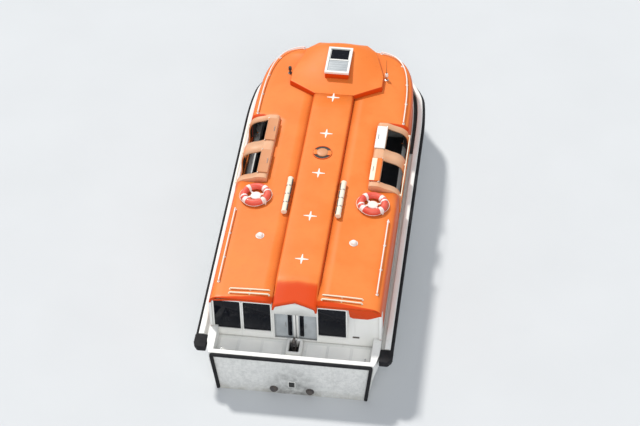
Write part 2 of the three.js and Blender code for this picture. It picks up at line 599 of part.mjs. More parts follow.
// Stowage tubes lie beside the spine on two feet each
sides.forEach(({ name, sign }) => {
  const { from, to, x, radius } = TUBE;
  const low = roofAt(x - 50) + SEAT;
  const centre = low + radius + 12;
  const feet = [from + 200, to - 200].map((s) => block([sign * (x - 50), sign * (x + 50)], [s - 30, s + 30], [low, centre]));
  addNode(`stowage_tube_${name}`, join(bar([sign * x, from, centre], [sign * x, to, centre], radius, 16), ...feet), 'white');
});

// Round roof vent on the spine
const ventLow = SPINE.top + SEAT;
addNode('roof_vent', join(
  bar([0, VENT.s, ventLow], [0, VENT.s, ventLow + VENT.height * 0.5], VENT.radius, 24),
  bar([0, VENT.s, ventLow + 10], [0, VENT.s, ventLow + VENT.height], VENT.radius - 45, 24, VENT.radius - 70)), 'orange');

// Lamp posts beside the helm dome; the starboard one carries a short whip antenna
sides.forEach(({ name, sign }) => {
  const { s, x, radius, height, lamp } = LIGHT_POST;
  const low = roofAt(x - radius) + SEAT;
  let post = join(
    bar([sign * x, s, low], [sign * x, s, low + height], radius, 12),
    bar([sign * x, s, low + height - 70], [sign * x, s, low + height + 30], lamp, 12));
  if (sign < 0) {
    post = join(post, bar([sign * x, s, low + height], [sign * x, s, low + height + ANTENNA.height], ANTENNA.radius, 8));
  }
  addNode(`lamp_post_${name}`, post, 'steel');
});

// Grab rails along the roof edges, on posts that stand on the canopy
const RAIL_POSTS_AFT = [1330, 2140, 2950, 3760];
const RAIL_POSTS_FORE = [7330, 8240, 9040];
sides.forEach(({ name, sign }) => {
  const skin = canopyBody(-SEAT, 700, 200, 200);
  const post = ([px, ps]) => bar([sign * px, ps, RAIL.foot], [sign * px, ps, RAIL.height], RAIL.post, 8);
  const ends = [RAIL_POSTS_AFT[0] - 30, RAIL_POSTS_AFT[3] + 30];
  const aftRail = join(
    bar([sign * RAIL.x, ends[0], RAIL.height], [sign * RAIL.x, ends[1], RAIL.height], RAIL.radius, 8),
    ...RAIL_POSTS_AFT.map((s) => post([RAIL.x, s])));
  addNode(`roof_rail_aft_${name}`, cut(aftRail, skin), 'white');
  const centre = [RAIL.x - RAIL.corner, RAIL.front - RAIL.corner];
  const bend = [0, 1, 2, 3, 4].map((step) => {
    const angle = (step / 4) * (Math.PI / 2);
    return [centre[0] + RAIL.corner * Math.cos(angle), centre[1] + RAIL.corner * Math.sin(angle)];
  });
  const route = [[RAIL.x, RAIL_POSTS_FORE[0] - 30], [RAIL.x, RAIL_POSTS_FORE[1]], ...bend];
  const foreRail = join(
    bentBar(route.map(([px, ps]) => [sign * px, ps, RAIL.height]), RAIL.radius, 24),
    ...RAIL_POSTS_FORE.map((s) => post([RAIL.x, s])), post(bend[2]), post([bend[4][0] + 20, bend[4][1]]));
  addNode(`roof_rail_fore_${name}`, cut(foreRail, skin), 'white');
});

// Release hooks: two cheeks on a foot carry a hook on a pin
const HOOK_SITES = [
  { name: 'aft', s: 560, deck: AFT_DECK - COAMING.wellDepth, stem: 330, dir: 1 },
  { name: 'bow', s: 10560, deck: FORE_DECK, stem: 95, dir: -1 },
];
HOOK_SITES.forEach(({ name, s, deck, stem, dir }) => {
  const low = deck + SEAT;
  const pin = low + stem;
  const inner = HOOK.half + HOOK.gap;
  const outer = inner + HOOK.cheek;
  const cheek = (sign) => block([sign * inner, sign * outer], [s - 70, s + 70], [low, pin + 45]);
  const pivot = bar([-outer, s, pin], [outer, s, pin], HOOK.pin, 24);
  addNode(`${name}_hook_pedestal`, join(block([-80, 80], [s - 110, s + 110], [low, low + 20]), cheek(1), cheek(-1), pivot), 'steel');
  const outline = [[-50, -35], [50, -35], [62, 40], [70, 95], [40, 150], [-20, 165], [-70, 130], [-80, 90], [-52, 88],
    [-40, 112], [-10, 128], [20, 116], [34, 88], [10, 55], [-50, 40]].map(([ds, dz]) => [s + dir * ds, pin + dz]);
  addNode(`${name}_hook`, cut(sideways(outline, -HOOK.half, HOOK.half), bar([-40, s, pin], [40, s, pin], HOOK.eye, 24)), 'steel');
});

// Propellers with their shafts, built upright at the hub and then raked
function bladeRing(radius, chord, pitch, thick) {
  const turn = THREE.MathUtils.degToRad(pitch);
  return [[-1, -1], [1, -1], [1, 1], [-1, 1]].map(([c, t]) => {
    const across = (c * chord) / 2;
    const through = (t * thick) / 2;
    return [across * Math.cos(turn) - through * Math.sin(turn), across * Math.sin(turn) + through * Math.cos(turn), radius];
  });
}
// Blade sections: radius, chord, pitch angle and thickness
const BLADE = [[30, 90, 58, 18], [95, 150, 44, 14], [165, 165, 33, 10], [212, 130, 27, 7], [230, 60, 25, 5]];
sides.forEach(({ name, sign }) => {
  const flat = (radius, y0, y1, facets) => {
    const geometry = new THREE.CylinderGeometry(radius, radius, y1 - y0, facets);
    return solidOf(geometry.translate(0, (y0 + y1) / 2, 0));
  };
  const blade = loft(BLADE.map(([r, c, p, t]) => bladeRing(r, c, sign * p, t)), [[0, 1, 2], [0, 2, 3]]);
  const blades = [0, 90, 180, 270].map((angle) => blade.rotate([0, angle, 0]));
  const cone = solidOf(new THREE.CylinderGeometry(16, PROPELLER.hub, 80, 16).translate(0, 135, 0));
  const screw = join(flat(PROPELLER.hub, -PROPELLER.hubLength / 2, PROPELLER.hubLength / 2 + 1, 16), cone, ...blades,
    flat(SHAFT.radius, -SHAFT.length, 0, 24));
  const mesh = addNode(`propeller_${name}`, screw, 'bronze');
  mesh.position.set(sign * SHAFT_X, toY(PROPELLER.s), PROPELLER.z);
  mesh.rotation.x = -SHAFT_RAKE;
});

// Rudders: a tapered blade under a stock that turns in the boss
sides.forEach(({ name, sign }) => {
  const { s, top, foot, ahead, astern, half, stock } = RUDDER;
  const x = sign * SHAFT_X;
  const plan = [[x - 4, s - astern], [x + 4, s - astern], [x + half, s], [x + half * 0.7, s + ahead * 0.8],
    [x, s + ahead], [x - half * 0.7, s + ahead * 0.8], [x - half, s]];
  const blade = common(upward(plan, foot, top - 20), sideways(
    [[s - astern, top - 20], [s + ahead, top - 20], [s + ahead * 0.7, foot], [s - astern * 0.7, foot]], x - 50, x + 50));
  addNode(`rudder_${name}`, join(blade,
    bar([x, s, top - 200], [x, s, RUDDER_BOSS.bottom - 0.4], stock, 12)), 'steel');
});

// Inside the cabin: benches along the sides, engines aft and the helm station under the hatch
sides.forEach(({ name, sign }) => {
  addNode(`bench_${name}`, block([sign * BENCH.inner, sign * (CABIN_HALF - SEAT)], [BENCH.from, BENCH.to],
    [SOLE + SEAT, BENCH.top]), 'cream');
  addNode(`engine_${name}`, block([sign * ENGINE.inner, sign * ENGINE.outer], [ENGINE.from, ENGINE.to],
    [SOLE + SEAT, ENGINE.top]), 'engine');
});
const helmLow = FORE_SOLE.height + SEAT;
addNode('helm_station', join(
  block([-HELM.half, HELM.half], [HELM.from, HELM.to], [helmLow, helmLow + HELM.plate]),
  block([-HELM.seatHalf, HELM.seatHalf], [HELM.from + 20, HELM.seatTo], [helmLow, helmLow + HELM.seat]),
  block([-HELM.half, HELM.half], [HELM.desk, HELM.to], [helmLow, HELM.top])), 'grey');

export default lifeboat;
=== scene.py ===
"""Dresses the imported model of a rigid-canopy ship's lifeboat and tender in Blender.

Everything is in metres, +X to port, +Y aft, +Z up, with the origin amidships on the waterline.
Lengths along the boat are given as s, the distance forward of the transom.
"""
import math

import bmesh
import bpy
import numpy as np
from bpy.props import FloatProperty, FloatVectorProperty, PointerProperty
from mathutils import Matrix, Vector


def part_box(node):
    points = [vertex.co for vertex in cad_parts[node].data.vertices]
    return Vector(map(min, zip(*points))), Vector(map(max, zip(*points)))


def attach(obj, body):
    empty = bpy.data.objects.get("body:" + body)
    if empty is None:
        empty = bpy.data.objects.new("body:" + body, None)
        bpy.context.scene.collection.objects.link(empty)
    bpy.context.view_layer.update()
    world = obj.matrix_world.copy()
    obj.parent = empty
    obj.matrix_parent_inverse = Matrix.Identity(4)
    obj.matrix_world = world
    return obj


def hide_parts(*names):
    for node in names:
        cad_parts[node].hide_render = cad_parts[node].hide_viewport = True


bl_info = {
    "name": "Lifeboat Tender",
    "version": (1, 0, 0),
    "blender": (4, 5, 0),
    "location": "View3D > Sidebar > Lifeboat",
    "description": "Builds the visible surfaces of a rigid-canopy lifeboat and tender",
    "category": "Object",
}

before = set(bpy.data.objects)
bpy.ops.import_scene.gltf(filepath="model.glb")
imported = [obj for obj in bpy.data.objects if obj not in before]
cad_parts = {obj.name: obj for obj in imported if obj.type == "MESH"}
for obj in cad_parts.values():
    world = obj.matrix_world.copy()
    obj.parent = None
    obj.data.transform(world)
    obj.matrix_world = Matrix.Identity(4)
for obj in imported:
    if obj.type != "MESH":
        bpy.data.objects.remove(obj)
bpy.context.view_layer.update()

# Hull form
LENGTH = 11.0
HALF_BEAM = 2.04
SHEER_AFT = 1.24
SHEER_BOW = 1.55
SHEER_BOW_FROM = 7.8
STEM_HALF = 0.05
BOW_FULLNESS = 2.6
SEAT = 0.0003
# Columns: height at the transom, amidships and at the bow end, half-breadth at the transom and amidships,
# run of widening, where the bow draws in, where it ends
HULL_LEVELS = np.array([
    [-0.30, -0.56, -0.33, 0.05, 0.05, 3.2, 8.3, 9.55],
    [-0.27, -0.47, -0.30, 0.80, 0.78, 3.2, 6.9, 9.65],
    [-0.215, -0.38, -0.25, 1.45, 1.46, 3.2, 7.2, 9.8],
    [-0.11, -0.21, -0.13, 1.74, 1.80, 3.2, 7.5, 10.0],
    [0.06, 0.02, 0.06, 1.80, 1.91, 2.6, 7.7, 10.28],
    [0.50, 0.47, 0.56, 1.86, 1.98, 1.6, 7.9, 10.66],
])
# Columns: depth below the sheer, then the last five of the table above
TOP_LEVELS = np.array([
    [0.34, 1.925, HALF_BEAM, 0.5, SHEER_BOW_FROM, LENGTH],
    [0.0, 1.94, HALF_BEAM, 0.5, SHEER_BOW_FROM, LENGTH],
])

# Decks
AFT_DECK = 0.95
SOLE = 0.30
CABIN_HALF = 1.85
BULWARK = 0.15
STEP = 0.012
# Columns: from s, to s, floor height
FLOORS = np.array([[0.12, 0.92, AFT_DECK], [0.92, 8.60, SOLE], [8.60, 10.0, 0.85], [10.183, 10.85, 1.33]])
HOOK_WELL = {"from": 0.38, "to": 0.74, "half": 0.10, "floor": 0.85}

# Canopy
CANOPY_HALF = 2.03
CANOPY_AFT = 0.82
CANOPY_FRONT = 10.18
CANOPY_TAPER = 6.5
CANOPY_FULLNESS = 4.6
SPINE = {"half": 0.53, "lip": 0.72, "lip_top": 2.20, "rise": 1.44, "top": 2.45, "end": 8.05, "notch": 0.86}
ROOF_EDGE = (1.865, 2.254)
ROOF_CROWN = (0.53, 2.33)
ROOF_SLOPE = (ROOF_EDGE[1] - ROOF_CROWN[1]) / (ROOF_EDGE[0] - ROOF_CROWN[0])
GATES = {"aft": (4.97, 5.77), "fore": (6.17, 6.95)}
BOW_DOOR = {"half": 0.28, "low": 1.635, "high": 2.01, "hinge": 0.322, "lug": 0.032}
BOW_WINDOW = {"inner": 0.43, "outer": 0.82, "low": 1.69, "high": 1.99}

SIDES = {"port": 1.0, "starboard": -1.0}


def y_of(s):
    """Y of a distance forward of the transom."""
    return LENGTH / 2 - s


def sheer(s):
    """Height of the sheer line: straight from the transom to the stem."""
    return SHEER_AFT + (SHEER_BOW - SHEER_AFT) * s / LENGTH


def roof_at(x):
    """Height of the side roof at a distance from the centreline: a straight slope down to the edge."""
    return ROOF_CROWN[1] + (abs(x) - ROOF_CROWN[0]) * ROOF_SLOPE


# Arrays of points. For each axis of height, where an outline's two numbers and the height go among x, y and z
AXES = {"z": np.eye(3), "y": np.eye(3)[[0, 2, 1]], "x": np.eye(3)[[1, 2, 0]]}


def xyz(x, y, z):
    """Three arrays or numbers as one array of points."""
    return np.stack(np.broadcast_arrays(x, y, z), axis=-1)


def unit(rows):
    """Vectors at length 1."""
    return rows / np.linalg.norm(rows, axis=-1, keepdims=True)


def arc(count, start=0.0, stop=2 * math.pi, close=False):
    """Evenly spaced angles from start to stop, without the last one unless the arc is closed."""
    return np.linspace(start, stop, count, endpoint=close)


def smooth_step(share):
    """0 to 1 with level ends: 3 t squared less 2 t cubed."""
    share = np.clip(share, 0, 1)
    return share ** 2 * (3 - 2 * share)


def between(value, low, high):
    """Where an array lies between two limits."""
    return (value > low) & (value < high)


def on_side(rows):
    """Outline points (s, z) as (y, z)."""
    return np.array([[y_of(s), z] for s, z in rows])


def circle(radius, count):
    """Outline of a circle: (r cos a, r sin a)."""
    return radius * np.column_stack([np.cos(arc(count)), np.sin(arc(count))])


def rounded_outline(corners, radius, steps=4):
    """An outline whose corners become quadratic curves that start and end at most radius from the corner."""
    corners = np.asarray(corners, float)
    ends = []
    for shift in (1, -1):
        away = np.roll(corners, shift, axis=0) - corners
        reach = np.linalg.norm(away, axis=1, keepdims=True)
        ends.append((corners + away / reach * np.minimum(radius, reach * 0.45))[:, None])
    t = np.linspace(0, 1, steps)[None, :, None]
    curve = (1 - t) ** 2 * ends[0] + 2 * t * (1 - t) * corners[:, None] + t ** 2 * ends[1]
    return curve.reshape(-1, 2)


def rectangle(width, height, radius=0.0, steps=4):
    """Rounded rectangle about the origin."""
    corners = np.array([[-1, -1], [1, -1], [1, 1], [-1, 1]]) * [width / 2, height / 2]
    return rounded_outline(corners, radius, steps) if radius else corners


def inset(outline, distance):
    """An outline moved inwards along its corner normals; outwards if the distance is negative."""
    ahead = np.roll(outline, -1, axis=0) - outline
    ahead = ahead / np.maximum(np.linalg.norm(ahead, axis=1, keepdims=True), 1e-9)
    area = np.sum(outline[:, 0] * np.roll(outline[:, 1], -1) - outline[:, 1] * np.roll(outline[:, 0], -1))
    normal = np.stack([-ahead[:, 1], ahead[:, 0]], axis=-1) * np.sign(area)
    mean = normal + np.roll(normal, 1, axis=0)
    return outline + mean / np.maximum(np.linalg.norm(mean, axis=1, keepdims=True), 1e-9) * distance


def smooth_path(points, steps=6):
    """A Catmull-Rom curve through points: cubic stretches whose ends follow the neighbouring points."""
    points = np.asarray(points, float)
    padded = np.concatenate([[2 * points[0] - points[1]], points, [2 * points[-1] - points[-2]]])
    t = np.linspace(0, 1, steps, endpoint=False)[None, :, None]
    a, b, c, d = (padded[i:len(padded) - 3 + i][:, None] for i in range(4))
    square, cube = 2 * a - 5 * b + 4 * c - d, 3 * b - a - 3 * c + d
    curve = 0.5 * (2 * b + (c - a) * t + square * t ** 2 + cube * t ** 3)
    return np.concatenate([curve.reshape(-1, points.shape[1]), points[-1:]])


def rounded_path(points, radius, steps=6):
    """An open path whose inner corners become quadratic curves that start and end radius from the corner."""
    points = np.asarray(points, float)
    t = np.linspace(0, 1, steps)[:, None]
    parts = [points[:1]]
    for before, corner, after in zip(points[:-2], points[1:-1], points[2:]):
        first, last = (corner + unit(end - corner) * radius for end in (before, after))
        parts.append((1 - t) ** 2 * first + 2 * t * (1 - t) * corner + t ** 2 * last)
    return np.concatenate(parts + [points[-1:]])


# Shapes: each is (vertices, faces), with vertices an (n, 3) array
def grid(points, wrap_u=False, wrap_v=False, keep=None):
    """Quads between neighbouring rows and columns of an (n, m, 3) array of points."""
    n, m = points.shape[:2]
    u, v = np.meshgrid(np.arange(n if wrap_u else n - 1), np.arange(m if wrap_v else m - 1), indexing="ij")
    up, across = (u + 1) % n, (v + 1) % m
    quads = np.stack([u * m + v, up * m + v, up * m + across, u * m + across], axis=-1)
    if keep is not None:
        quads = quads[keep]
    return points.reshape(-1, 3), quads.reshape(-1, 4).tolist()


def closed_rings(rings):
    """A body through an (n, m, 3) array of closed rings, with a flat face over the first and the last."""
    count, m = rings.shape[:2]
    points, faces = grid(rings, wrap_v=True)
    return points, faces + [list(range(m))[::-1], list(range((count - 1) * m, count * m))]


def merged(*shapes):
    """Several shapes as one, with their faces renumbered."""
    vertices, faces, start = [], [], 0
    for points, polygons in shapes:
        vertices.append(points)
        faces += [[corner + start for corner in polygon] for polygon in polygons]
        start += len(points)
    return np.concatenate(vertices), faces


def moved(shape, matrix):
    """A shape with a 4x4 matrix applied to its points."""
    points, faces = shape
    return points @ np.array(matrix.to_3x3()).T + np.array(matrix.translation), faces


def prism(outline, low, high, edge=0.0, steps=3, normal="z"):
    """An outline carried straight along an axis, with its two rims rounded as quarter circles."""
    turns = arc(steps, 0, math.pi / 2, close=True) if edge else np.array([math.pi / 2])
    ins, rise = edge * (1 - np.sin(turns)), edge * (1 - np.cos(turns))
    insets = np.concatenate([ins, ins[::-1]])
    heights = np.concatenate([low + rise, high - rise[::-1]])
    rings = [np.column_stack([inset(outline, a), np.full(len(outline), h)]) for a, h in zip(insets, heights)]
    return closed_rings(np.array(rings) @ AXES[normal])


def slab(centre, size, edge=0.004, corner=0.01, normal="z"):
    """A plate with rounded corners and rims; size is along x, y and z, and normal is its thin axis."""
    wide, tall, thick = AXES[normal] @ np.array(size, float)
    outline = rectangle(wide, tall, min(corner, min(wide, tall) * 0.4))
    points, faces = prism(outline, -thick / 2, thick / 2, min(edge, thick * 0.45), normal=normal)
    return points + np.array(centre, float), faces


def lathe(profile, centre=(0, 0, 0), axis=(0, 0, 1), count=32):
    """A profile of [radius, height] pairs turned about an axis: (r cos a, r sin a, h)."""
    radius, height = np.array(profile, float).T[:, :, None]
    shape = closed_rings(xyz(radius * np.cos(arc(count)), radius * np.sin(arc(count)), height))
    turn = Vector((0, 0, 1)).rotation_difference(Vector(axis)).to_matrix().to_4x4()
    return moved(shape, Matrix.Translation(centre) @ turn)


def ring(major, minor, count, sides, start=0.0, stop=2 * math.pi):
    """A torus, or an arc of one: ((R + r cos b) cos a, (R + r cos b) sin a, r sin b)."""
    whole = stop - start > 6.28
    a, b = arc(count, start, stop, close=not whole)[:, None], arc(sides)[None, :]
    radius = major + minor * np.cos(b)
    points = xyz(radius * np.cos(a), radius * np.sin(a), minor * np.sin(b))
    return grid(points, wrap_u=True, wrap_v=True) if whole else closed_rings(points)


def swept(outline, path, up=(0, 0, 1), closed=False, scale=1.0):
    """An outline carried along a path, with a scale for each point of it. The outline's first number goes to
    the right of travel, its second along up made square to the path."""
    path = np.asarray(path, float)
    ahead = np.roll(path, -1, axis=0) - np.roll(path, 1, axis=0) if closed else np.gradient(path, axis=0)
    side = unit(np.cross(unit(ahead), np.array(up, float)))
    rise = np.cross(side, unit(ahead))
    reach = np.broadcast_to(scale, len(path))[:, None, None]
    points = path[:, None] + reach * (outline[:, :1] * side[:, None] + outline[:, 1:] * rise[:, None])
    return grid(points, wrap_u=True, wrap_v=True) if closed else closed_rings(points)


def tube(path, radius, sides=10, up=(1, 0, 0)):
    """A round bar along a path, with domed ends."""
    path = np.asarray(path, float)
    turns = arc(3, 0.15, math.pi / 2, close=True)
    back = (np.cos(turns)[:, None] - 1) * radius
    lead = path[0] + unit(path[0] - path[1]) * back
    tail = (path[-1] + unit(path[-1] - path[-2]) * back)[::-1]
    scale = np.concatenate([np.sin(turns), np.ones(len(path) - 2), np.sin(turns)[::-1]])
    return swept(circle(radius, sides), np.concatenate([lead, path[1:-1], tail]), up, scale=scale)


def handle(foot, out, along, lean, radius):
    """A bar held off a face, from one foot along to the other, with its legs leaning in."""
    foot, out, along = np.array(foot), np.array(out), np.array(along)
    lean = unit(along) * lean
    return tube([foot, foot + out + lean, foot + out + along - lean, foot + along], radius, 8)


# Objects
def shown(name, mesh, work, smooth):
    """Writes a worked mesh back and links it as a smooth object, with edges sharper than an angle crisp."""
    work.to_mesh(mesh)
    work.free()
    mesh.polygons.foreach_set("use_smooth", np.ones(len(mesh.polygons), bool))
    mesh.set_sharp_from_angle(angle=math.radians(smooth))
    made = bpy.data.objects.new(name, mesh)
    bpy.context.scene.collection.objects.link(made)
    return made


def new_object(name, shape, smooth=35.0, outward=True):
    """A mesh object from a shape."""
    mesh = bpy.data.meshes.new(name)
    mesh.from_pydata(shape[0].tolist(), [], shape[1])
    work = bmesh.new()
    work.from_mesh(mesh)
    bmesh.ops.remove_doubles(work, verts=work.verts, dist=1e-6)
    if outward:
        bmesh.ops.recalc_face_normals(work, faces=work.faces)
    return shown(name, mesh, work, smooth)


def finish_piece(made, finish, body, replaces):
    """Gives a piece its finish, the body that it rides on and the nodes that it stands for."""
    made.data.materials.clear()
    made.data.materials.append(MATERIALS[finish])
    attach(made, body)
    if replaces:
        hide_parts(*replaces)


def make(name, shape, finish, body="boat", replaces=(), sign=1.0, smooth=35.0, wall=0.0, outward=True):
    """A finished piece from a shape, or from its mirror image if sign is -1. A sheet gets a wall, inwards,
    with its inner face in the liner's finish."""
    made = new_object(name, (shape[0] * np.array([sign, 1.0, 1.0]), shape[1]), smooth, outward)
    finish_piece(made, finish, body, replaces)
    if wall:
        solid = made.modifiers.new("wall", "SOLIDIFY")
        solid.thickness = wall
        solid.offset = -1.0
        solid.use_even_offset = True
        # Inner faces take the near-black liner: painted shade inside the cabin
        solid.material_offset = 1
        made.data.materials.append(MATERIALS["liner"])


def round_copy(name, node, finish, width, segments=3, body="boat", angle=28.0):
    """A copy of a frame node that stands for it, with its coplanar triangles joined and its edges rounded."""
    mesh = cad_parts[node].data.copy()
    mesh.name = name
    work = bmesh.new()
    work.from_mesh(mesh)
    bmesh.ops.remove_doubles(work, verts=work.verts, dist=1e-5)
    bmesh.ops.dissolve_limit(work, angle_limit=math.radians(1.0), verts=work.verts, edges=work.edges)
    made = shown(name, mesh, work, angle)
    bevel = made.modifiers.new("edge rounding", "BEVEL")
    bevel.limit_method = "ANGLE"
    bevel.angle_limit = math.radians(angle)
    bevel.width = width
    bevel.segments = segments
    bevel.harden_normals = True
    finish_piece(made, finish, body, [node])


def dress_node(node, finish):
    """Gives a frame node that stays in view one of the finishes."""
    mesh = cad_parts[node].data
    mesh.materials.clear()
    mesh.materials.append(MATERIALS[finish])


# Materials
MATERIALS = {}
# Columns: colour (None is the one in the scene's settings), second colour, roughness, metallic, grain, bump,
# coat, gloss
PLAIN_FINISHES = {
    "grey": (None, (0.48, 0.51, 0.53), 0.45, 0.0, 60.0, 0.1, 0.0, 0.5),
    "rubber": (None, (0.018, 0.018, 0.02), 0.72, 0.0, 180.0, 0.25, 0.0, 0.25),
    "seal": ((0.02, 0.02, 0.02), (0.035, 0.035, 0.035), 0.6, 0.0, 240.0, 0.1, 0.0, 0.5),
    "steel": ((0.62, 0.63, 0.64), (0.72, 0.73, 0.73), 0.3, 1.0, 120.0, 0.05, 0.0, 0.5),
    "dark_steel": ((0.10, 0.10, 0.11), (0.17, 0.14, 0.12), 0.5, 0.6, 120.0, 0.15, 0.0, 0.5),
    "bronze": ((0.60, 0.38, 0.17), (0.42, 0.30, 0.15), 0.34, 1.0, 90.0, 0.08, 0.0, 0.5),
    "buoy": (None, (0.82, 0.13, 0.08), 0.46, 0.0, 90.0, 0.1, 0.1, 0.5),
    "band": ((0.92, 0.82, 0.78), (0.86, 0.76, 0.70), 0.4, 0.0, 150.0, 0.1, 0.0, 0.5),
    # liner: near-black inner faces of the mouldings, painted shade of the closed cabin
    "liner": ((0.05, 0.045, 0.042), (0.035, 0.032, 0.03), 0.7, 0.0, 70.0, 0.1, 0.0, 0.5),
    "seat": ((0.045, 0.05, 0.06), (0.07, 0.075, 0.085), 0.6, 0.0, 200.0, 0.2, 0.0, 0.5),
    "engine": ((0.22, 0.30, 0.33), (0.28, 0.36, 0.38), 0.42, 0.1, 60.0, 0.1, 0.0, 0.5),
    "lens": ((0.92, 0.90, 0.86), (0.84, 0.80, 0.76), 0.2, 0.0, 60.0, 0.1, 0.6, 0.5),
}


def add(tree, kind, sockets=None, **settings):
    """A node with its settings made, and each named socket linked or given its value."""
    made = tree.nodes.new(kind)
    for name, value in settings.items():
        setattr(made, name, value)
    for name, value in (sockets or {}).items():
        if isinstance(value, bpy.types.NodeSocket):
            tree.links.new(value, made.inputs[name])
        else:
            made.inputs[name].default_value = value
    return made


def noise(tree, coords, scale, detail=3.0, roughness=0.5):
    """Soft cloudy pattern, 0 to 1, with scale in patches per metre."""
    sockets = {"Vector": coords, "Scale": scale, "Detail": detail, "Roughness": roughness}
    return add(tree, "ShaderNodeTexNoise", sockets).outputs["Fac"]


def stretched(tree, coords, scale, centre=(0.0, 0.0, 0.0)):
    """Coordinates scaled per axis about a centre."""
    sockets = {"Vector": coords, "Scale": scale, "Location": tuple(-c * k for c, k in zip(centre, scale))}
    return add(tree, "ShaderNodeMapping", sockets).outputs["Vector"]


def spread(tree, value, low, high, out_low=0.0, out_high=1.0):
    """Smooth step of a value from one range to another."""
    sockets = {"Value": value, "From Min": low, "From Max": high, "To Min": out_low, "To Max": out_high}
    return add(tree, "ShaderNodeMapRange", sockets, interpolation_type="SMOOTHSTEP").outputs["Result"]


def sums(tree, operation, first, second):
    """One arithmetic step between two values."""
    return add(tree, "ShaderNodeMath", {0: first, 1: second}, operation=operation).outputs[0]


def times(tree, first, second):
    """The product of two values."""
    return sums(tree, "MULTIPLY", first, second)


def split(tree, vector):
    """The X, Y and Z of a vector."""
    return add(tree, "ShaderNodeSeparateXYZ", {"Vector": vector}).outputs


def mix(tree, factor, first, second):
    """Mix of two colours, each a socket or three numbers."""
    made = add(tree, "ShaderNodeMix", {0: factor}, data_type="RGBA")
    for index, colour in ((6, first), (7, second)):
        if isinstance(colour, bpy.types.NodeSocket):
            tree.links.new(colour, made.inputs[index])
        else:
            made.inputs[index].default_value = (*colour, 1.0)
    return made.outputs[2]


def start_material(key, sockets):
    """An empty material with one shader; returns its tree, its shader and its Object coordinates."""
    material = bpy.data.materials.new(key)
    material.use_nodes = True
    tree = material.node_tree
    tree.nodes.clear()
    shader = add(tree, "ShaderNodeBsdfPrincipled", sockets)
    add(tree, "ShaderNodeOutputMaterial", {"Surface": shader.outputs[0]})
    MATERIALS[key] = material
    return tree, shader, add(tree, "ShaderNodeTexCoord").outputs["Object"]


def finish_shader(tree, shader, colour, roughness, height, strength, distance):
    """Links a shader's colour, its roughness if there is one, and a bump from a height value."""
    tree.links.new(colour, shader.inputs["Base Color"])
    if roughness:
        tree.links.new(roughness, shader.inputs["Roughness"])
    bump = add(tree, "ShaderNodeBump", {"Height": height, "Strength": strength, "Distance": distance})
    tree.links.new(bump.outputs[0], shader.inputs["Normal"])


def corner_grime_and_shade(tree, reach, amount):
    """Grime and painted shade: the amount in tight corners and 0 on open faces, from ambient occlusion."""
    shade = add(tree, "ShaderNodeAmbientOcclusion", {"Distance": reach}, samples=4).outputs["AO"]
    return times(tree, spread(tree, shade, 0.35, 0.92, 1.0, 0.0), amount)


def facing_shade(tree):
    """Painted shade: 1 on faces that look aft or sideways, away from the sun, and 0 on those that look up."""
    axes = split(tree, add(tree, "ShaderNodeTexCoord").outputs["Normal"])
    aft = spread(tree, axes["Y"], 0.21, 0.32)
    return sums(tree, "MAXIMUM", aft, spread(tree, axes["Z"], 0.5, 0.88, 0.65, 0.0))


def gelcoat(key, colour, faded, grime_and_shade, roughness, wear=1.0, overlay=None, deep=None):
    """Moulded gelcoat: faded patches, rain streaks, specks of dirt, grime and painted shade in corners,
    painted shade on faces that look aft or sideways when a deep colour is given, and a faint waviness.
    """
    gloss = {"Coat Weight": 0.04, "Coat Roughness": 0.3, "Specular IOR Level": 0.25 if deep else 0.45}
    tree, shader, coords = start_material(key, gloss)
    broad = noise(tree, coords, 0.9, 4.0, 0.6)
    colour_now = mix(tree, spread(tree, broad, 0.35, 0.7, 0.0, 0.75), colour, faded)
    # deep: a deeper colour painted as shade on faces that look aft or sideways
    if deep:
        colour_now = mix(tree, facing_shade(tree), colour_now, deep)
    streaks = noise(tree, stretched(tree, coords, (7.0, 7.0, 0.5)), 1.6, 5.0, 0.65)
    colour_now = mix(tree, spread(tree, streaks, 0.56, 0.78, 0.0, 0.34 * wear), colour_now, grime_and_shade)
    specks = noise(tree, coords, 38.0, 6.0, 0.7)
    colour_now = mix(tree, spread(tree, specks, 0.62, 0.74, 0.0, 0.35 * wear), colour_now, grime_and_shade)
    # Grime and painted shade: darker in tight corners, from ambient occlusion
    colour_now = mix(tree, corner_grime_and_shade(tree, 0.10, 0.42 * wear), colour_now, grime_and_shade)
    if overlay:
        colour_now = overlay(tree, coords, colour_now)
    rough = spread(tree, broad, 0.3, 0.75, roughness - 0.06, roughness + 0.12)
    peel = times(tree, noise(tree, coords, 260.0, 2.0, 0.5), 0.015)
    height = sums(tree, "ADD", noise(tree, coords, 3.2, 1.0, 0.4), peel)
    finish_shader(tree, shader, colour_now, rough, height, 0.12, 0.02)


def hull_stain(tree, coords, colour_now):
    """Scum at the waterline, grey mottling and soot on the transom."""
    axes = split(tree, coords)
    patches = noise(tree, coords, 5.0, 5.0, 0.7)
    low = spread(tree, axes["Z"], 0.02, 0.30, 1.0, 0.0)
    scum = times(tree, low, spread(tree, patches, 0.3, 0.75, 0.1, 0.7))
    colour_now = mix(tree, scum, colour_now, (0.34, 0.31, 0.22))
    stern = spread(tree, axes["Y"], y_of(0.01), y_of(0.0))
    mottle = spread(tree, noise(tree, coords, 11.0, 7.0, 0.75), 0.35, 0.7, 0.25, 0.75)
    colour_now = mix(tree, times(tree, stern, mottle), colour_now, (0.50, 0.51, 0.50))
    soot_at = stretched(tree, coords, (1.0, 1.0, 0.75), (0.0, y_of(0.0), 0.02))
    reach = add(tree, "ShaderNodeVectorMath", {0: soot_at}, operation="LENGTH").outputs["Value"]
    soot = times(tree, spread(tree, reach, 0.18, 0.85, 0.75, 0.0), spread(tree, patches, 0.3, 0.7, 0.2, 1.0))
    return mix(tree, times(tree, stern, soot), colour_now, (0.10, 0.10, 0.10))


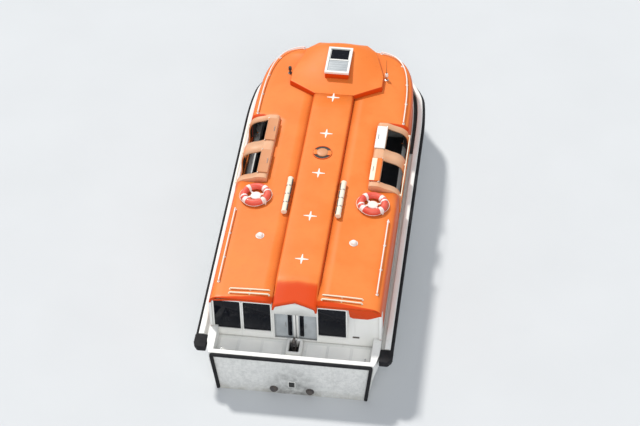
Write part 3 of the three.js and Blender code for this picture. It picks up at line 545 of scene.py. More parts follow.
def hull_stain_and_cabin_shade(tree, coords, colour_now):
    """The hull's stains, and painted shade: a near-black floor and sides between the bulkhead and the helm,
    for the shade inside the cabin.
    """
    axes = split(tree, coords)
    across = add(tree, "ShaderNodeMath", {0: axes["X"]}, operation="ABSOLUTE").outputs[0]
    inside = spread(tree, across, CABIN_HALF + 0.002, CABIN_HALF + 0.006, 1.0, 0.0)
    limits = (("Z", SOLE - 0.02, SOLE - 0.01, 0.0, 1.0), ("Z", 1.20, 1.21, 1.0, 0.0),
              ("Y", y_of(0.918), y_of(0.914), 1.0, 0.0), ("Y", y_of(8.58), y_of(8.54), 0.0, 1.0))
    for axis, low, high, first, last in limits:
        inside = times(tree, inside, spread(tree, axes[axis], low, high, first, last))
    # Near-black inside the cabin: painted shade
    return mix(tree, inside, hull_stain(tree, coords, colour_now), (0.06, 0.065, 0.07))


def hood_top_highlight(tree, coords, colour_now):
    """Painted highlight: upper faces of a hood lighter in patches, as where the sun falls on them."""
    patches = spread(tree, noise(tree, coords, 3.0, 4.0, 0.6), 0.2, 0.7, 0.7, 1.0)
    high = times(tree, spread(tree, split(tree, coords)["Z"], 2.05, 2.28), patches)
    return mix(tree, high, colour_now, (0.70, 0.40, 0.235))


def plain_finish(key, colour, other, roughness, metallic, grain, bump, coat, gloss):
    """Two close colours in a fine cloudy pattern, grime and painted shade in corners and a grain in the
    surface.
    """
    sockets = {"Metallic": metallic, "Coat Weight": coat, "Specular IOR Level": gloss}
    tree, shader, coords = start_material(key, sockets)
    colour_now = mix(tree, spread(tree, noise(tree, coords, 4.0, 5.0, 0.65), 0.3, 0.7), colour, other)
    fine = noise(tree, coords, grain, 4.0, 0.6)
    darker = tuple(0.45 * value for value in colour)
    colour_now = mix(tree, spread(tree, fine, 0.55, 0.8, 0.0, 0.35), colour_now, darker)
    # Painted shade and grime: darker in tight corners, from ambient occlusion
    colour_now = mix(tree, corner_grime_and_shade(tree, 0.05, 0.5), colour_now, darker)
    rough = spread(tree, fine, 0.3, 0.7, roughness - 0.08, roughness + 0.1)
    finish_shader(tree, shader, colour_now, rough, fine, bump, 0.001)


def tinted_glass(key, colour):
    """Dark tinted window: glossy, a little see-through, with dried salt in streaks."""
    tree, shader, coords = start_material(key, {"Roughness": 0.06, "Transmission Weight": 0.06, "IOR": 1.48,
                                                "Specular IOR Level": 0.14})
    salt = noise(tree, stretched(tree, coords, (14.0, 14.0, 5.0)), 1.0, 6.0, 0.7)
    colour_now = mix(tree, spread(tree, salt, 0.55, 0.8, 0.0, 0.14), colour, (0.35, 0.36, 0.38))
    tree.links.new(colour_now, shader.inputs["Base Color"])


def grip_finish(key, colour):
    """Non-slip deck: a pebbled surface, worn lighter in patches."""
    tree, shader, coords = start_material(key, {"Roughness": 0.75})
    cells = add(tree, "ShaderNodeTexVoronoi", {"Vector": coords, "Scale": 130.0}).outputs["Distance"]
    darker = tuple(0.95 * value for value in colour)
    colour_now = mix(tree, spread(tree, noise(tree, coords, 2.5, 4.0, 0.6), 0.35, 0.7), darker, colour)
    colour_now = mix(tree, spread(tree, cells, 0.2, 0.6, 0.15, 0.0), colour_now, darker)
    finish_shader(tree, shader, colour_now, None, cells, 0.35, 0.002)


def colour_setting(name, description, default):
    """A colour among the scene's settings."""
    return FloatVectorProperty(name=name, description=description, subtype="COLOR", default=default,
                               min=0, max=1)


def length_setting(name, description, default):
    """A length among the scene's settings."""
    return FloatProperty(name=name, description=description, default=default, unit="LENGTH")


class LifeboatColours(bpy.types.PropertyGroup):
    """Colours of the boat's finishes."""
    orange: colour_setting("Canopy orange", "Gelcoat of the canopy", (0.80, 0.195, 0.032))
    orange_faded: colour_setting("Faded orange", "Sun-faded canopy gelcoat", (0.86, 0.235, 0.048))
    white: colour_setting("Hull white", "Gelcoat of the hull and bulkhead", (0.86, 0.86, 0.84))
    cream: colour_setting("Cream", "Lids, tubes and rails", (0.88, 0.78, 0.60))
    grey: colour_setting("Door grey", "Doors and hatch panel", (0.40, 0.43, 0.45))
    rubber: colour_setting("Rubber", "Fenders and seals", (0.008, 0.008, 0.010))
    buoy: colour_setting("Lifebuoy red", "Skin of the lifebuoys", (0.74, 0.075, 0.045))
    floor: colour_setting("Floor", "Studio floor", (0.62, 0.64, 0.66))


class LifeboatSizes(bpy.types.PropertyGroup):
    """Sizes of the pieces that the scene adds to the frame."""
    wall: length_setting("Moulding wall", "Thickness of the canopy mouldings", 0.045)
    rail: length_setting("Rail radius", "Radius of the grab rails", 0.016)
    fender_groove: length_setting("Fender groove", "Depth of the grooves in the fenders", 0.009)
    cross_span: length_setting("Cross span", "Tip to tip of the reflective crosses", 0.32)
    cross_arm: length_setting("Cross arm", "Width of the crosses' arms", 0.055)
    strap: length_setting("Strap width", "Width of the lifebuoy straps", 0.045)
    lens: FloatProperty(name="Camera lens", description="Focal length in millimetres", default=112.0)


class LIFEBOAT_OT_materials(bpy.types.Operator):
    """Make the procedural finishes"""
    bl_idname = "lifeboat.materials"
    bl_label = "Finishes"

    def execute(self, context):
        colours = context.scene.lifeboat_colours
        orange, faded, white = tuple(colours.orange), tuple(colours.orange_faded), tuple(colours.white)
        # The deeper orange is painted shade on faces that look aft or sideways, away from the key light.
        gelcoat("orange", orange, faded, (0.36, 0.08, 0.02), 0.46, 0.8, deep=(0.66, 0.055, 0.0))
        gelcoat("pale", (0.60, 0.25, 0.11), (0.66, 0.30, 0.14), (0.40, 0.20, 0.11), 0.42, 0.8)
        gelcoat("white", white, (0.80, 0.80, 0.76), (0.42, 0.41, 0.37), 0.34)
        gelcoat("hull", white, (0.80, 0.81, 0.79), (0.40, 0.39, 0.35), 0.34, 1.1, hull_stain_and_cabin_shade)
        # The hood's upper faces get a painted highlight.
        gelcoat("hood", orange, faded, (0.42, 0.10, 0.03), 0.46, 0.8, hood_top_highlight)
        gelcoat("cream", tuple(colours.cream), (0.92, 0.84, 0.68), (0.45, 0.36, 0.24), 0.42, 0.8)
        grip_finish("grip", (0.96, 0.96, 0.93))
        for key, (colour, *rest) in PLAIN_FINISHES.items():
            plain_finish(key, colour or tuple(getattr(colours, key)), *rest)
        tinted_glass("glass", (0.006, 0.007, 0.011))
        return {"FINISHED"}


# Hull: outlines as s and z, profiles as radius and height
SKEG = [[1.5, -0.30], [1.5, -0.86], [6.6, -0.86], [8.5, -0.50], [8.5, -0.42]]
SKEG_HALF = 0.045
STRUT = [[1.235, -0.10], [1.145, -0.10], [1.145, -0.53], [1.235, -0.53]]
STRUT_HALF = 0.018
BARREL = [[0.026, -0.06], [0.05, -0.06], [0.055, -0.052], [0.055, 0.052], [0.05, 0.06], [0.026, 0.06],
          [0.026, -0.06]]
BOSS = [[0.031, -0.374], [0.070, -0.374], [0.075, -0.368], [0.075, -0.2], [0.031, -0.2]]
SHAFT = {"x": 0.65, "s": 0.9, "z": -0.6, "rake": math.radians(6), "bracket": 0.29, "rudder_s": 0.4}


def half_breadth(s, aft_half, half, run, bow_from, bow_end):
    """Half-breadth: widens as a parabola over the run, then draws in as a superellipse to the stem."""
    share = np.minimum(s / run, 1)
    body = aft_half + (half - aft_half) * share * (2 - share)
    entry = np.clip((s - bow_from) / (bow_end - bow_from), 0, 1)
    return np.maximum(body * (1 - entry ** BOW_FULLNESS) ** (1 / BOW_FULLNESS), STEM_HALF)


def sheer_half(s):
    """Half-breadth at the sheer."""
    return half_breadth(s, *TOP_LEVELS[1, 1:])


def canopy_half(s, inset_by=0.0):
    """Half-width of the canopy plan: straight, then a superellipse to the flat front."""
    entry = np.clip((s - CANOPY_TAPER) / (CANOPY_FRONT - CANOPY_TAPER - inset_by), 0, 1)
    return (CANOPY_HALF - inset_by) * (1 - entry ** CANOPY_FULLNESS) ** (1 / CANOPY_FULLNESS)


def plan_normals(x, s):
    """Outward normals (x, s) along a plan curve that ends on the centreline."""
    normal = unit(np.column_stack([np.gradient(s), -np.gradient(x)]))
    normal[-1] = (0.0, 1.0)
    return normal


def sheer_curve(from_s, count=60):
    """Points (x, s) of the sheer on the port side and their outward normals, close together round the bow."""
    straight = np.linspace(from_s, SHEER_BOW_FROM, count // 2, endpoint=False)
    angle = np.linspace(0, math.pi / 2, count)
    bow_s = SHEER_BOW_FROM + (LENGTH - SHEER_BOW_FROM) * np.sin(angle) ** (2 / BOW_FULLNESS)
    x = np.concatenate([sheer_half(straight), HALF_BEAM * np.cos(angle).clip(0) ** (2 / BOW_FULLNESS)])
    s = np.concatenate([straight, bow_s])
    return x, s, plan_normals(x, s)


def hull_side(share):
    """Port side of the hull from the keel to the sheer, as rows of points for shares of the length."""
    share = share[:, None]
    aft, middle, bow, *low = HULL_LEVELS.T
    depth, *top = TOP_LEVELS.T
    low_s, top_s = share * low[-1], share * top[-1]
    low_z = middle + (np.where(share < 0.5, aft, bow) - middle) * np.abs(2 * share - 1) ** 2.5
    x = np.concatenate([half_breadth(low_s, *low), half_breadth(top_s, *top)], axis=1)
    s = np.concatenate([low_s, top_s], axis=1)
    z = np.concatenate([low_z, sheer(top_s) - depth], axis=1)
    return np.stack([smooth_path(row, 4) for row in xyz(x, y_of(s), z)])


def deck_rows(s):
    """Port half of the decks, from the sheer inwards: cap, well side, floor and hook well."""
    x, path_s, normal = sheer_curve(9.8)
    fore = np.interp(s, path_s - normal[:, 1] * BULWARK, x - normal[:, 0] * BULWARK)
    inner = np.where(s < 10.1, np.minimum(CABIN_HALF, canopy_half(s, 0.18)), np.maximum(fore, STEM_HALF))
    inner = np.minimum(inner, sheer_half(s) - 0.01)
    inside = between(s[:, None], FLOORS[:, 0], FLOORS[:, 1])
    floor = np.where(inside.any(axis=1), (inside * FLOORS[:, 2]).sum(axis=1), sheer(s))
    deep = np.where(between(s, HOOK_WELL["from"], HOOK_WELL["to"]), HOOK_WELL["floor"], floor)
    near = np.minimum(HOOK_WELL["half"] + STEP, inner * 0.7)
    across = np.stack([inner, inner - STEP, near, np.minimum(HOOK_WELL["half"], inner * 0.6), 0 * s], axis=1)
    return xyz(across, y_of(s)[:, None], np.stack([sheer(s), floor, floor, deep, deep], axis=1))


def hull_moulding():
    """The hull with its decks as one closed skin: hull side, deck and their mirror image at each station."""
    edges = np.concatenate([FLOORS[:, 0], FLOORS[:, 1], [HOOK_WELL["from"], HOOK_WELL["to"]]])
    edges = np.concatenate([edges - STEP / 4, edges + STEP / 4])
    even = np.concatenate([np.linspace(0, 0.7, 22), 1 - 0.3 * (1 - np.linspace(0, 1, 34)) ** 1.8])
    share = np.unique(np.concatenate([even, edges / LENGTH]).round(6))
    port = np.concatenate([hull_side(share), deck_rows(share * LENGTH)], axis=1)
    loops = np.concatenate([port, port[:, ::-1][:, 1:] * np.array([-1.0, 1.0, 1.0])], axis=1)
    points, faces = grid(loops, wrap_v=True)
    rows, count = loops.shape[:2]
    for first in (0, (rows - 1) * count):
        pairs = [(first + i, first + count - 1 - i) for i in range(port.shape[1] - 1)]
        faces += [[a, c, d, b] for (a, b), (c, d) in zip(pairs[:-1], pairs[1:])]
        faces.append([pairs[-1][0], first + port.shape[1] - 1, pairs[-1][1]])
    return points, faces


class LIFEBOAT_OT_hull(bpy.types.Operator):
    """Make the hull moulding with its skeg, shaft brackets and rudder bosses"""
    bl_idname = "lifeboat.hull"
    bl_label = "Hull"

    def execute(self, context):
        make("hull_moulding", hull_moulding(), "hull", replaces=["hull"], smooth=40)
        skeg = prism(rounded_outline(on_side(SKEG), 0.03), -SKEG_HALF, SKEG_HALF, 0.012, normal="x")
        make("skeg_moulding", skeg, "hull")
        sides = SHAFT["x"] - STRUT_HALF, SHAFT["x"] + STRUT_HALF
        strut = prism(rounded_outline(on_side(STRUT), 0.015), *sides, 0.012, normal="x")
        rake = np.array([0.0, -math.cos(SHAFT["rake"]), math.sin(SHAFT["rake"])])
        end = np.array([SHAFT["x"], y_of(SHAFT["s"]), SHAFT["z"]])
        bracket = merged(strut, lathe(BARREL, end + SHAFT["bracket"] * rake, rake),
                         lathe(BOSS, [SHAFT["x"], y_of(SHAFT["rudder_s"]), 0.0]))
        for side, sign in SIDES.items():
            make(f"shaft_bracket_{side}", bracket, "bronze", sign=sign)
        return {"FINISHED"}


# Fenders and strakes: sections as [offset out of the hull side, height above the sheer]
STRAKE_FROM = 0.56
STRAKE_SECTION = [[SEAT, -0.33], [0.23, -0.28], [0.23, 0.0], [0.095, 0.0], [0.095, -0.13], [SEAT, -0.13]]
# A black strip in the gutter forward of the gates: painted shadow of the canopy wall.
GUTTER_SHADOW_FROM = 7.25
GUTTER_SHADOW = [[0.004, -0.1295], [0.092, -0.1295], [0.092, -0.10], [0.004, -0.10]]
FENDER_INNER = 0.2303
FENDER_OUTER = 0.30
STRIP_NARROWS = {"from": 9.1, "to": 10.15, "least": 0.2}
CORNER_BLOCK = {"from": 0.15, "to": 0.56, "low": -0.16, "high": -0.005}
STERN_FENDER = {"top": 1.235, "width": 0.085, "proud": 0.07, "low": 0.06, "top_half": 1.885,
                "low_half": 1.758}


def sheer_strip(section, from_s):
    """A strip along the port sheer: section points set out along the sheer's normals and above it. Its
    breadth falls towards the stem as a smooth step."""
    x, s, normal = sheer_curve(from_s)
    section = np.asarray(section)
    share = smooth_step((s - STRIP_NARROWS["from"]) / (STRIP_NARROWS["to"] - STRIP_NARROWS["from"]))
    breadth = 1 - (1 - STRIP_NARROWS["least"]) * share
    off = SEAT + (section[None, :, 0] - SEAT) * breadth[:, None]
    points = xyz(x[:, None] + normal[:, :1] * off, y_of(s[:, None] + normal[:, 1:] * off),
                 sheer(s)[:, None] + section[None, :, 1])
    points[-1, :, 0] = 0.0
    return closed_rings(points)


def fender_section(groove):
    """Outer face of the fender strip: a rounded bar with two grooves along it."""
    inner, outer, deep = FENDER_INNER, FENDER_OUTER, FENDER_OUTER - groove
    return np.array([[inner, -0.215], [0.275, -0.23], [0.296, -0.215], [outer, -0.205], [outer, -0.180],
                     [deep, -0.174], [outer, -0.168], [outer, -0.122], [deep, -0.116], [outer, -0.110],
                     [outer, -0.085], [0.296, -0.075], [0.275, -0.06], [inner, -0.068]])


def stern_bar():
    """A grooved bar along the top of the transom that turns down into a leg at each corner."""
    half, proud = STERN_FENDER["width"] / 2 - 0.0005, STERN_FENDER["proud"]
    level = STERN_FENDER["top"] - STERN_FENDER["width"] / 2
    ends = [(STERN_FENDER["low_half"], STERN_FENDER["low"]), (STERN_FENDER["top_half"], level)]
    path = [[-x, y_of(0.0), z] for x, z in ends] + [[x, y_of(0.0), z] for x, z in ends[::-1]]
    face = [[half, proud * 0.55], [half * 0.72, proud * 0.9], [half * 0.25, proud]]
    section = [[-half, SEAT], [half, SEAT], *face, [0.0, proud - 0.008], *([-u, v] for u, v in face[::-1])]
    return swept(rounded_outline(section, 0.012, 3), rounded_path(path, 0.05), up=(0, 1, 0))


class LIFEBOAT_OT_fenders(bpy.types.Operator):
    """Make the rubbing strakes, the side fenders with their quarter blocks, and the stern fender"""
    bl_idname = "lifeboat.fenders"
    bl_label = "Strakes and fenders"

    def execute(self, context):
        inner, outer = HALF_BEAM + SEAT, HALF_BEAM + FENDER_OUTER
        aft, fore = y_of(CORNER_BLOCK["from"]), y_of(CORNER_BLOCK["to"])
        low, high = (sheer(CORNER_BLOCK["from"]) + CORNER_BLOCK[key] for key in ("low", "high"))
        plan = [[inner, fore], [outer, fore], [outer, aft - 0.12], [outer - 0.09, aft], [inner, aft]]
        ribs = [slab([outer + 0.002, y_of(s), 0.5 * (low + high)], [0.012, 0.018, 0.12], 0.004, 0.006, "x")
                for s in np.linspace(0.32, 0.52, 4)]
        section = fender_section(context.scene.lifeboat_sizes.fender_groove)
        strip = merged(sheer_strip(section, CORNER_BLOCK["to"] - 0.04),
                       prism(rounded_outline(plan, 0.035, 5), low, high, 0.022, 4), *ribs)
        strake = sheer_strip(rounded_outline(STRAKE_SECTION, 0.022), STRAKE_FROM)
        for side, sign in SIDES.items():
            make(f"strake_moulding_{side}", strake, "white", replaces=[f"rubbing_strake_{side}"], sign=sign)
            # Painted shadow in the gutter
            make(f"gutter_mat_{side}", sheer_strip(GUTTER_SHADOW, GUTTER_SHADOW_FROM), "seal", sign=sign)
            make(f"fender_strip_{side}", strip, "rubber", replaces=[f"side_fender_{side}"], sign=sign)
        make("stern_fender", stern_bar(), "rubber", replaces=["transom_fender"])
        return {"FINISHED"}


# Canopy. Shoulders as [distance in from the wall, height]
SHOULDER_SIDE = np.array([[0, 2.06], [0.006, 2.105], [0.018, 2.145], [0.040, 2.18], [0.070, 2.208],
                          [0.112, 2.234], [0.165, 2.254]])
SHOULDER_FRONT = np.array([[0, 2.06], [0.012, 2.13], [0.035, 2.185], [0.08, 2.235], [0.15, 2.275],
                           [0.25, 2.31], [0.38, 2.33]])
WALL_HEIGHTS = [1.62, BOW_DOOR["low"], BOW_WINDOW["low"], BOW_WINDOW["high"], BOW_DOOR["high"]]
BOARDING = {"from": 4.89, "to": 7.11, "inner": 1.4, "low": 1.62}
ROOF_SHARES = [0.12, (ROOF_EDGE[0] - BOARDING["inner"]) / (ROOF_EDGE[0] - ROOF_CROWN[0]), 0.6, 0.8, 1.0]
AFT_DROP = {"run": 0.30, "high": 2.34, "depth": 0.10}
STATIONS = np.array([0.82, 0.84, 0.87, 0.91, 0.95, 1.0, 1.06, 1.12, 1.19, 1.26, 1.4, 2.0, 2.8, 3.6, 4.3, 4.89,
                     5.5, 6.2, 6.6, 7.11, 7.4, 7.7, 8.0, 8.3, 8.6, 8.9])
SPINE_SECTION = np.array([[0.53, 0.20], [0.53, 0.14], [0.527, 0.09], [0.517, 0.05], [0.50, 0.022],
                          [0.47, 0.005], [0.44, 0.0], [0.22, -0.003], [0.0, -0.005]])
# Columns: distance from the centreline, height of the eave's top
EAVE_TOP = np.array([[1.86, 2.226], [1.95, 2.20], [2.0, 2.14]])
EAVE_S = (0.815, 0.845)
# Lower edges of the eaves, as x and z
EAVES = {"port": [[0.54, 2.185], [1.30, 2.19], [1.97, 2.13]],
         "starboard": [[-2.0, 2.06], [-1.80, 1.96], [-1.70, 1.925], [-1.36, 1.925], [-1.29, 1.965],
                       [-1.26, 2.185], [-0.54, 2.185]]}


def aft_slope(s):
    """Height of the roof where it falls away aft: a parabola that ends level."""
    left = np.clip(1 - (s - CANOPY_AFT) / AFT_DROP["run"], 0, None)
    return AFT_DROP["high"] - AFT_DROP["depth"] * left ** 2


def canopy_columns():
    """Plan points (x, s) of the port side from aft to the middle of the front, with their normals and their
    targets on the rim of the roof's opening."""
    reach, power = CANOPY_FRONT - CANOPY_TAPER, 2 / CANOPY_FULLNESS
    entry = ((STATIONS[-1] - CANOPY_TAPER) / reach) ** (1 / power)
    turn = np.linspace(math.asin(entry), math.radians(88.9), 24)[1:]
    x = np.concatenate([canopy_half(STATIONS), CANOPY_HALF * np.cos(turn) ** power])
    s = np.concatenate([STATIONS, CANOPY_TAPER + reach * np.sin(turn) ** power])
    front_x = np.array([BOW_WINDOW["outer"], BOW_WINDOW["inner"], BOW_DOOR["half"], 0.0])
    keep = x > front_x[0] + 0.03
    x = np.concatenate([x[keep], front_x])
    s = np.concatenate([s[keep], np.full(len(front_x), CANOPY_FRONT)])
    near = CANOPY_TAPER + reach * (1 - (x / CANOPY_HALF) ** CANOPY_FULLNESS) ** (power / 2)
    s = np.where(s > 9.0, near, s)
    beyond = s > 8.0
    turn = np.linspace(0, 1, beyond.sum()) * math.pi / 2
    target = np.column_stack([np.full(len(s), SPINE["half"]), s])
    target[beyond] = np.column_stack([SPINE["half"] * np.cos(turn) ** 0.6, 8.0 + 1.6 * np.sin(turn) ** 0.8])
    return x, s, plan_normals(x, s), target


def shoulder_height(back, forward):
    """Height of the canopy's shoulder at a distance in from its edge, between side and front sections."""
    side, front = (np.interp(back, *section.T) for section in (SHOULDER_SIDE, SHOULDER_FRONT))
    return side + (front - side) * forward


def canopy_grid():
    """Canopy skin (x, s, z): walls stand on the sheer, a shoulder bends in by offsets that grow from the
    sides to the front, and a straight slope runs to the rim of the roof's opening. Aft, the roof falls away
    as a parabola."""
    x, s, normal, target = canopy_columns()
    rows = [xyz(x, s, sheer(s) + SEAT)] + [xyz(x, s, z) for z in WALL_HEIGHTS]
    forward = normal[:, 1] ** 2
    for side, front in zip(SHOULDER_SIDE, SHOULDER_FRONT):
        back, height = side[:, None] + (front - side)[:, None] * forward
        rows.append(xyz(x - normal[:, 0] * back, s - normal[:, 1] * back, height))
    rim = np.column_stack([target, np.full(len(s), ROOF_CROWN[1])])
    roof = [rows[-1] + (rim - rows[-1]) * share for share in ROOF_SHARES]
    points = np.stack(rows + roof, axis=1)
    points[..., 2] = np.minimum(points[..., 2], aft_slope(points[..., 1]))
    return np.concatenate([points[:-1] * np.array([-1, 1, 1]), points[::-1]])


def canopy_cells(points):
    """Which cells of the canopy skin stay: all but the boarding places and the openings in the front."""
    middle = 0.25 * (points[:-1, :-1] + points[1:, :-1] + points[:-1, 1:] + points[1:, 1:])
    x, s, z = np.abs(middle[..., 0]), middle[..., 1], middle[..., 2]
    boarding = between(s, BOARDING["from"], BOARDING["to"]) & (x > BOARDING["inner"]) & (z > BOARDING["low"])
    door = (x < BOW_DOOR["half"]) & between(z, BOW_DOOR["low"], BOW_DOOR["high"])
    window = between(z, BOW_WINDOW["low"], BOW_WINDOW["high"])
    window &= between(x, BOW_WINDOW["inner"], BOW_WINDOW["outer"])
    return ~(boarding | (s > CANOPY_FRONT - 0.2) & (door | window))


def spine_top(s):
    """Height of the spine: level, and straight down to the lip aft, with a soft knee."""
    slope = (SPINE["top"] - SPINE["lip_top"]) / (SPINE["rise"] - SPINE["lip"])
    ahead = SPINE["rise"] - s
    return SPINE["top"] - slope * 0.5 * (ahead + np.sqrt(ahead ** 2 + 0.08 ** 2))


def spine_grid():
    """Raised spine: its section is carried along the roof, and its aft edge is cut to a V in plan."""
    across, drop = np.concatenate([SPINE_SECTION, SPINE_SECTION[-2::-1] * np.array([-1, 1])]).T
    start = SPINE["notch"] - (SPINE["notch"] - SPINE["lip"]) * np.abs(across) / SPINE["half"]
    share = np.concatenate([np.linspace(0, 0.16, 18), np.linspace(0.16, 1, 12)[1:]])[:, None]
    s = start + (SPINE["end"] - start) * share
    low = np.where(s < CANOPY_AFT, 2.09, np.minimum(2.28, aft_slope(s) - 0.05))
    height = np.maximum(spine_top(s) - drop, low)
    height[:, [0, -1]] = low[:, [0, -1]]
    return xyz(across, y_of(s), height)


class LIFEBOAT_OT_canopy(bpy.types.Operator):
    """Make the canopy moulding, its raised spine, the eave over the aft bulkhead and the bow door's hinges"""
    bl_idname = "lifeboat.canopy"
    bl_label = "Canopy"

    def execute(self, context):
        wall = context.scene.lifeboat_sizes.wall
        plan = canopy_grid()
        skin = grid(xyz(plan[..., 0], y_of(plan[..., 1]), plan[..., 2]), keep=canopy_cells(plan))
        make("canopy_moulding", skin, "orange", replaces=["canopy"], smooth=40, wall=wall)
        make("spine_moulding", grid(spine_grid()), "orange", smooth=40, wall=wall)
        for side, low in EAVES.items():
            high = np.array(low)[::-1]
            high[:, 1] = np.interp(np.abs(high[:, 0]), *EAVE_TOP.T)
            lip = prism(np.concatenate([low, high]), y_of(EAVE_S[1]), y_of(EAVE_S[0]), 0.008, normal="y")
            make(f"eave_lip_{side}", lip, "orange")
        lugs = [slab([BOW_DOOR["hinge"], y_of(CANOPY_FRONT) - 0.012, z], [0.028, 0.046, 0.023], 0.004, 0.008)
                for z in (BOW_DOOR["low"] - BOW_DOOR["lug"], BOW_DOOR["high"] + BOW_DOOR["lug"])]
        make("bow_hinge_lugs", merged(*lugs), "steel")
        return {"FINISHED"}


# Helm dome. Columns: s, half-width, height of the rim
DOME_PLAN = np.array([[8.05, 0.53, 2.4555], [8.48, 1.20, 2.44], [8.90, 1.20, 2.44], [9.30, 1.08, 2.455],
                      [9.80, 0.92, 2.48], [10.10, 0.60, 2.48]])
DOME_FOOT = 2.20
DOME_EDGE = 0.04
DOME_RISE = {"length": 1.7, "height": 0.2}
DOME_FRONT = {"from": 9.74, "to": 10.10, "drop": 0.36}
PLINTH = {"middle": 2.5605, "height": 0.2, "in": 0.012}


def dome_rings():
    """Helm dome: its middle swells forward from the spine as a smooth step and falls at the front as a
    quarter ellipse; across, it is a parabola down to the rim, where a rounded edge turns into a low wall."""
    start, stop = DOME_FRONT["from"], DOME_FRONT["to"]
    aft, wide, narrow = DOME_PLAN[:3, 0]
    s = np.concatenate([np.linspace(aft, wide, 12), np.linspace(wide, narrow, 9)[1:],
                        np.linspace(narrow, start - 0.04, 12)[1:-1],
                        start + (stop - start) * np.sin(np.linspace(0, math.pi / 2, 12))])
    plan_s, plan_half, plan_rim = DOME_PLAN.T
    half = np.interp(s, plan_s, plan_half)[:, None]
    fall = np.clip((s - start) / (stop - start), 0, 1)
    middle = plan_rim[0] + DOME_RISE["height"] * smooth_step((s - plan_s[0]) / DOME_RISE["length"])
    middle = middle - DOME_FRONT["drop"] * (1 - np.sqrt(1 - fall ** 2))
    rim = np.minimum(np.interp(s, plan_s, plan_rim), middle)[:, None]
    inner = half - DOME_EDGE
    share = np.linspace(0, 1, 18)[None, :]
    turn = arc(5, 0, math.pi / 2, close=True)[None, 1:]
    height = middle[:, None] + (rim - middle[:, None]) * share ** 2
    x = np.concatenate([share * inner, inner + DOME_EDGE * np.sin(turn), half], axis=1)
    z = np.concatenate([height, rim - DOME_EDGE * (1 - np.cos(turn)), np.full_like(half, DOME_FOOT)], axis=1)
    x = np.concatenate([-x[:, ::-1], x[:, 1:]], axis=1)
    return closed_rings(xyz(x, y_of(s)[:, None], np.concatenate([z[:, ::-1], z[:, 1:]], axis=1)))


class LIFEBOAT_OT_dome(bpy.types.Operator):
    """Make the helm dome and its hatch"""
    bl_idname = "lifeboat.dome"
    bl_label = "Helm dome"

    def execute(self, context):
        make("dome_moulding", dome_rings(), "orange", replaces=["helm_dome"], smooth=45)
        low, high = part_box("hatch_rim")
        middle, size = (low + high) / 2, high - low
        plinth = slab([middle.x, middle.y, PLINTH["middle"]],
                      [size.x - PLINTH["in"], size.y - PLINTH["in"], PLINTH["height"]], 0.01, 0.03)
        make("hatch_plinth", plinth, "orange")
        round_copy("hatch_frame", "hatch_rim", "white", 0.008)
        dress_node("hatch_pane", "glass")
        low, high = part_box("hatch_panel")
        middle, size = (low + high) / 2, high - low
        ribs = [slab([middle.x, low.y + size.y * share, high.z + 0.001], [size.x * 0.86, 0.03, 0.008], 0.003)
                for share in (0.2, 0.4, 0.6, 0.8)]
        panel = merged(slab(middle, size, 0.006, 0.02), *ribs)
        make("hatch_slide", panel, "grey", "hatch_panel", ["hatch_panel"])
        bar = slab([middle.x, low.y + 0.022, high.z + 0.006], [size.x, 0.044, 0.022], 0.007, 0.012)
        make("hatch_slide_bar", bar, "white", "hatch_panel")
        return {"FINISHED"}


# Hood over the boarding places, port side, as x and z from its inboard foot over the shoulder to its sill
HOOD_SECTION = np.array([[1.255, 2.22], [1.255, 2.36], [1.30, 2.415], [1.41, 2.42], [1.53, 2.412],
                         [1.66, 2.358], [1.81, 2.312], [1.906, 2.262], [1.985, 2.19], [2.035, 2.09],
                         [2.06, 1.96], [2.066, 1.80], [2.066, 1.66], [2.06, 1.60], [2.035, 1.565],
                         [1.97, 1.56]])
HOOD_ENDS = (4.80, 7.13)
HOOD_WALL = 0.04
HOOD_CENTRE = np.array([1.66, 2.0])
HOOD_STEPS = 3
GATE_KNOTS = (4, 12)
LUG = {"x": 1.505, "gap": 0.022, "z": 2.427}
GUARD_RAIL = {"x": 2.066, "z": 2.10, "posts": (4.88, 5.97, 7.05)}
# The port lids are a paler orange than the starboard aft one: painted light, on the side that faces the key
# light.
LID_FINISHES = {"port_aft": "pale", "port_fore": "pale", "starboard_aft": "orange", "starboard_fore": "white"}


def hood_grid():
    """Skin of a hood: a smooth curve through its section, straight along the boat, drawn in towards the
    section's centre at both ends; cells between the gates' knots are dropped."""
    curve = smooth_path(HOOD_SECTION, HOOD_STEPS)
    sunk = HOOD_CENTRE + (curve - HOOD_CENTRE) * 0.6
    edges = [edge for gate in GATES.values() for edge in gate]
    s = np.array(sorted([HOOD_ENDS[0] - 0.05, *HOOD_ENDS, HOOD_ENDS[1] + 0.05, *edges]))
    inner = ((s >= HOOD_ENDS[0]) & (s <= HOOD_ENDS[1]))[:, None, None]
    section = np.where(inner, curve[None], sunk[None])
    middle, part = 0.5 * (s[:-1] + s[1:])[:, None], np.arange(len(curve) - 1)[None, :]
    gate = sum(between(middle, *ends) for ends in GATES.values()).astype(bool)
    hole = gate & (part >= HOOD_STEPS * GATE_KNOTS[0]) & (part < HOOD_STEPS * GATE_KNOTS[1])
    return grid(xyz(section[..., 0], y_of(s)[:, None], section[..., 1]), keep=~hole)


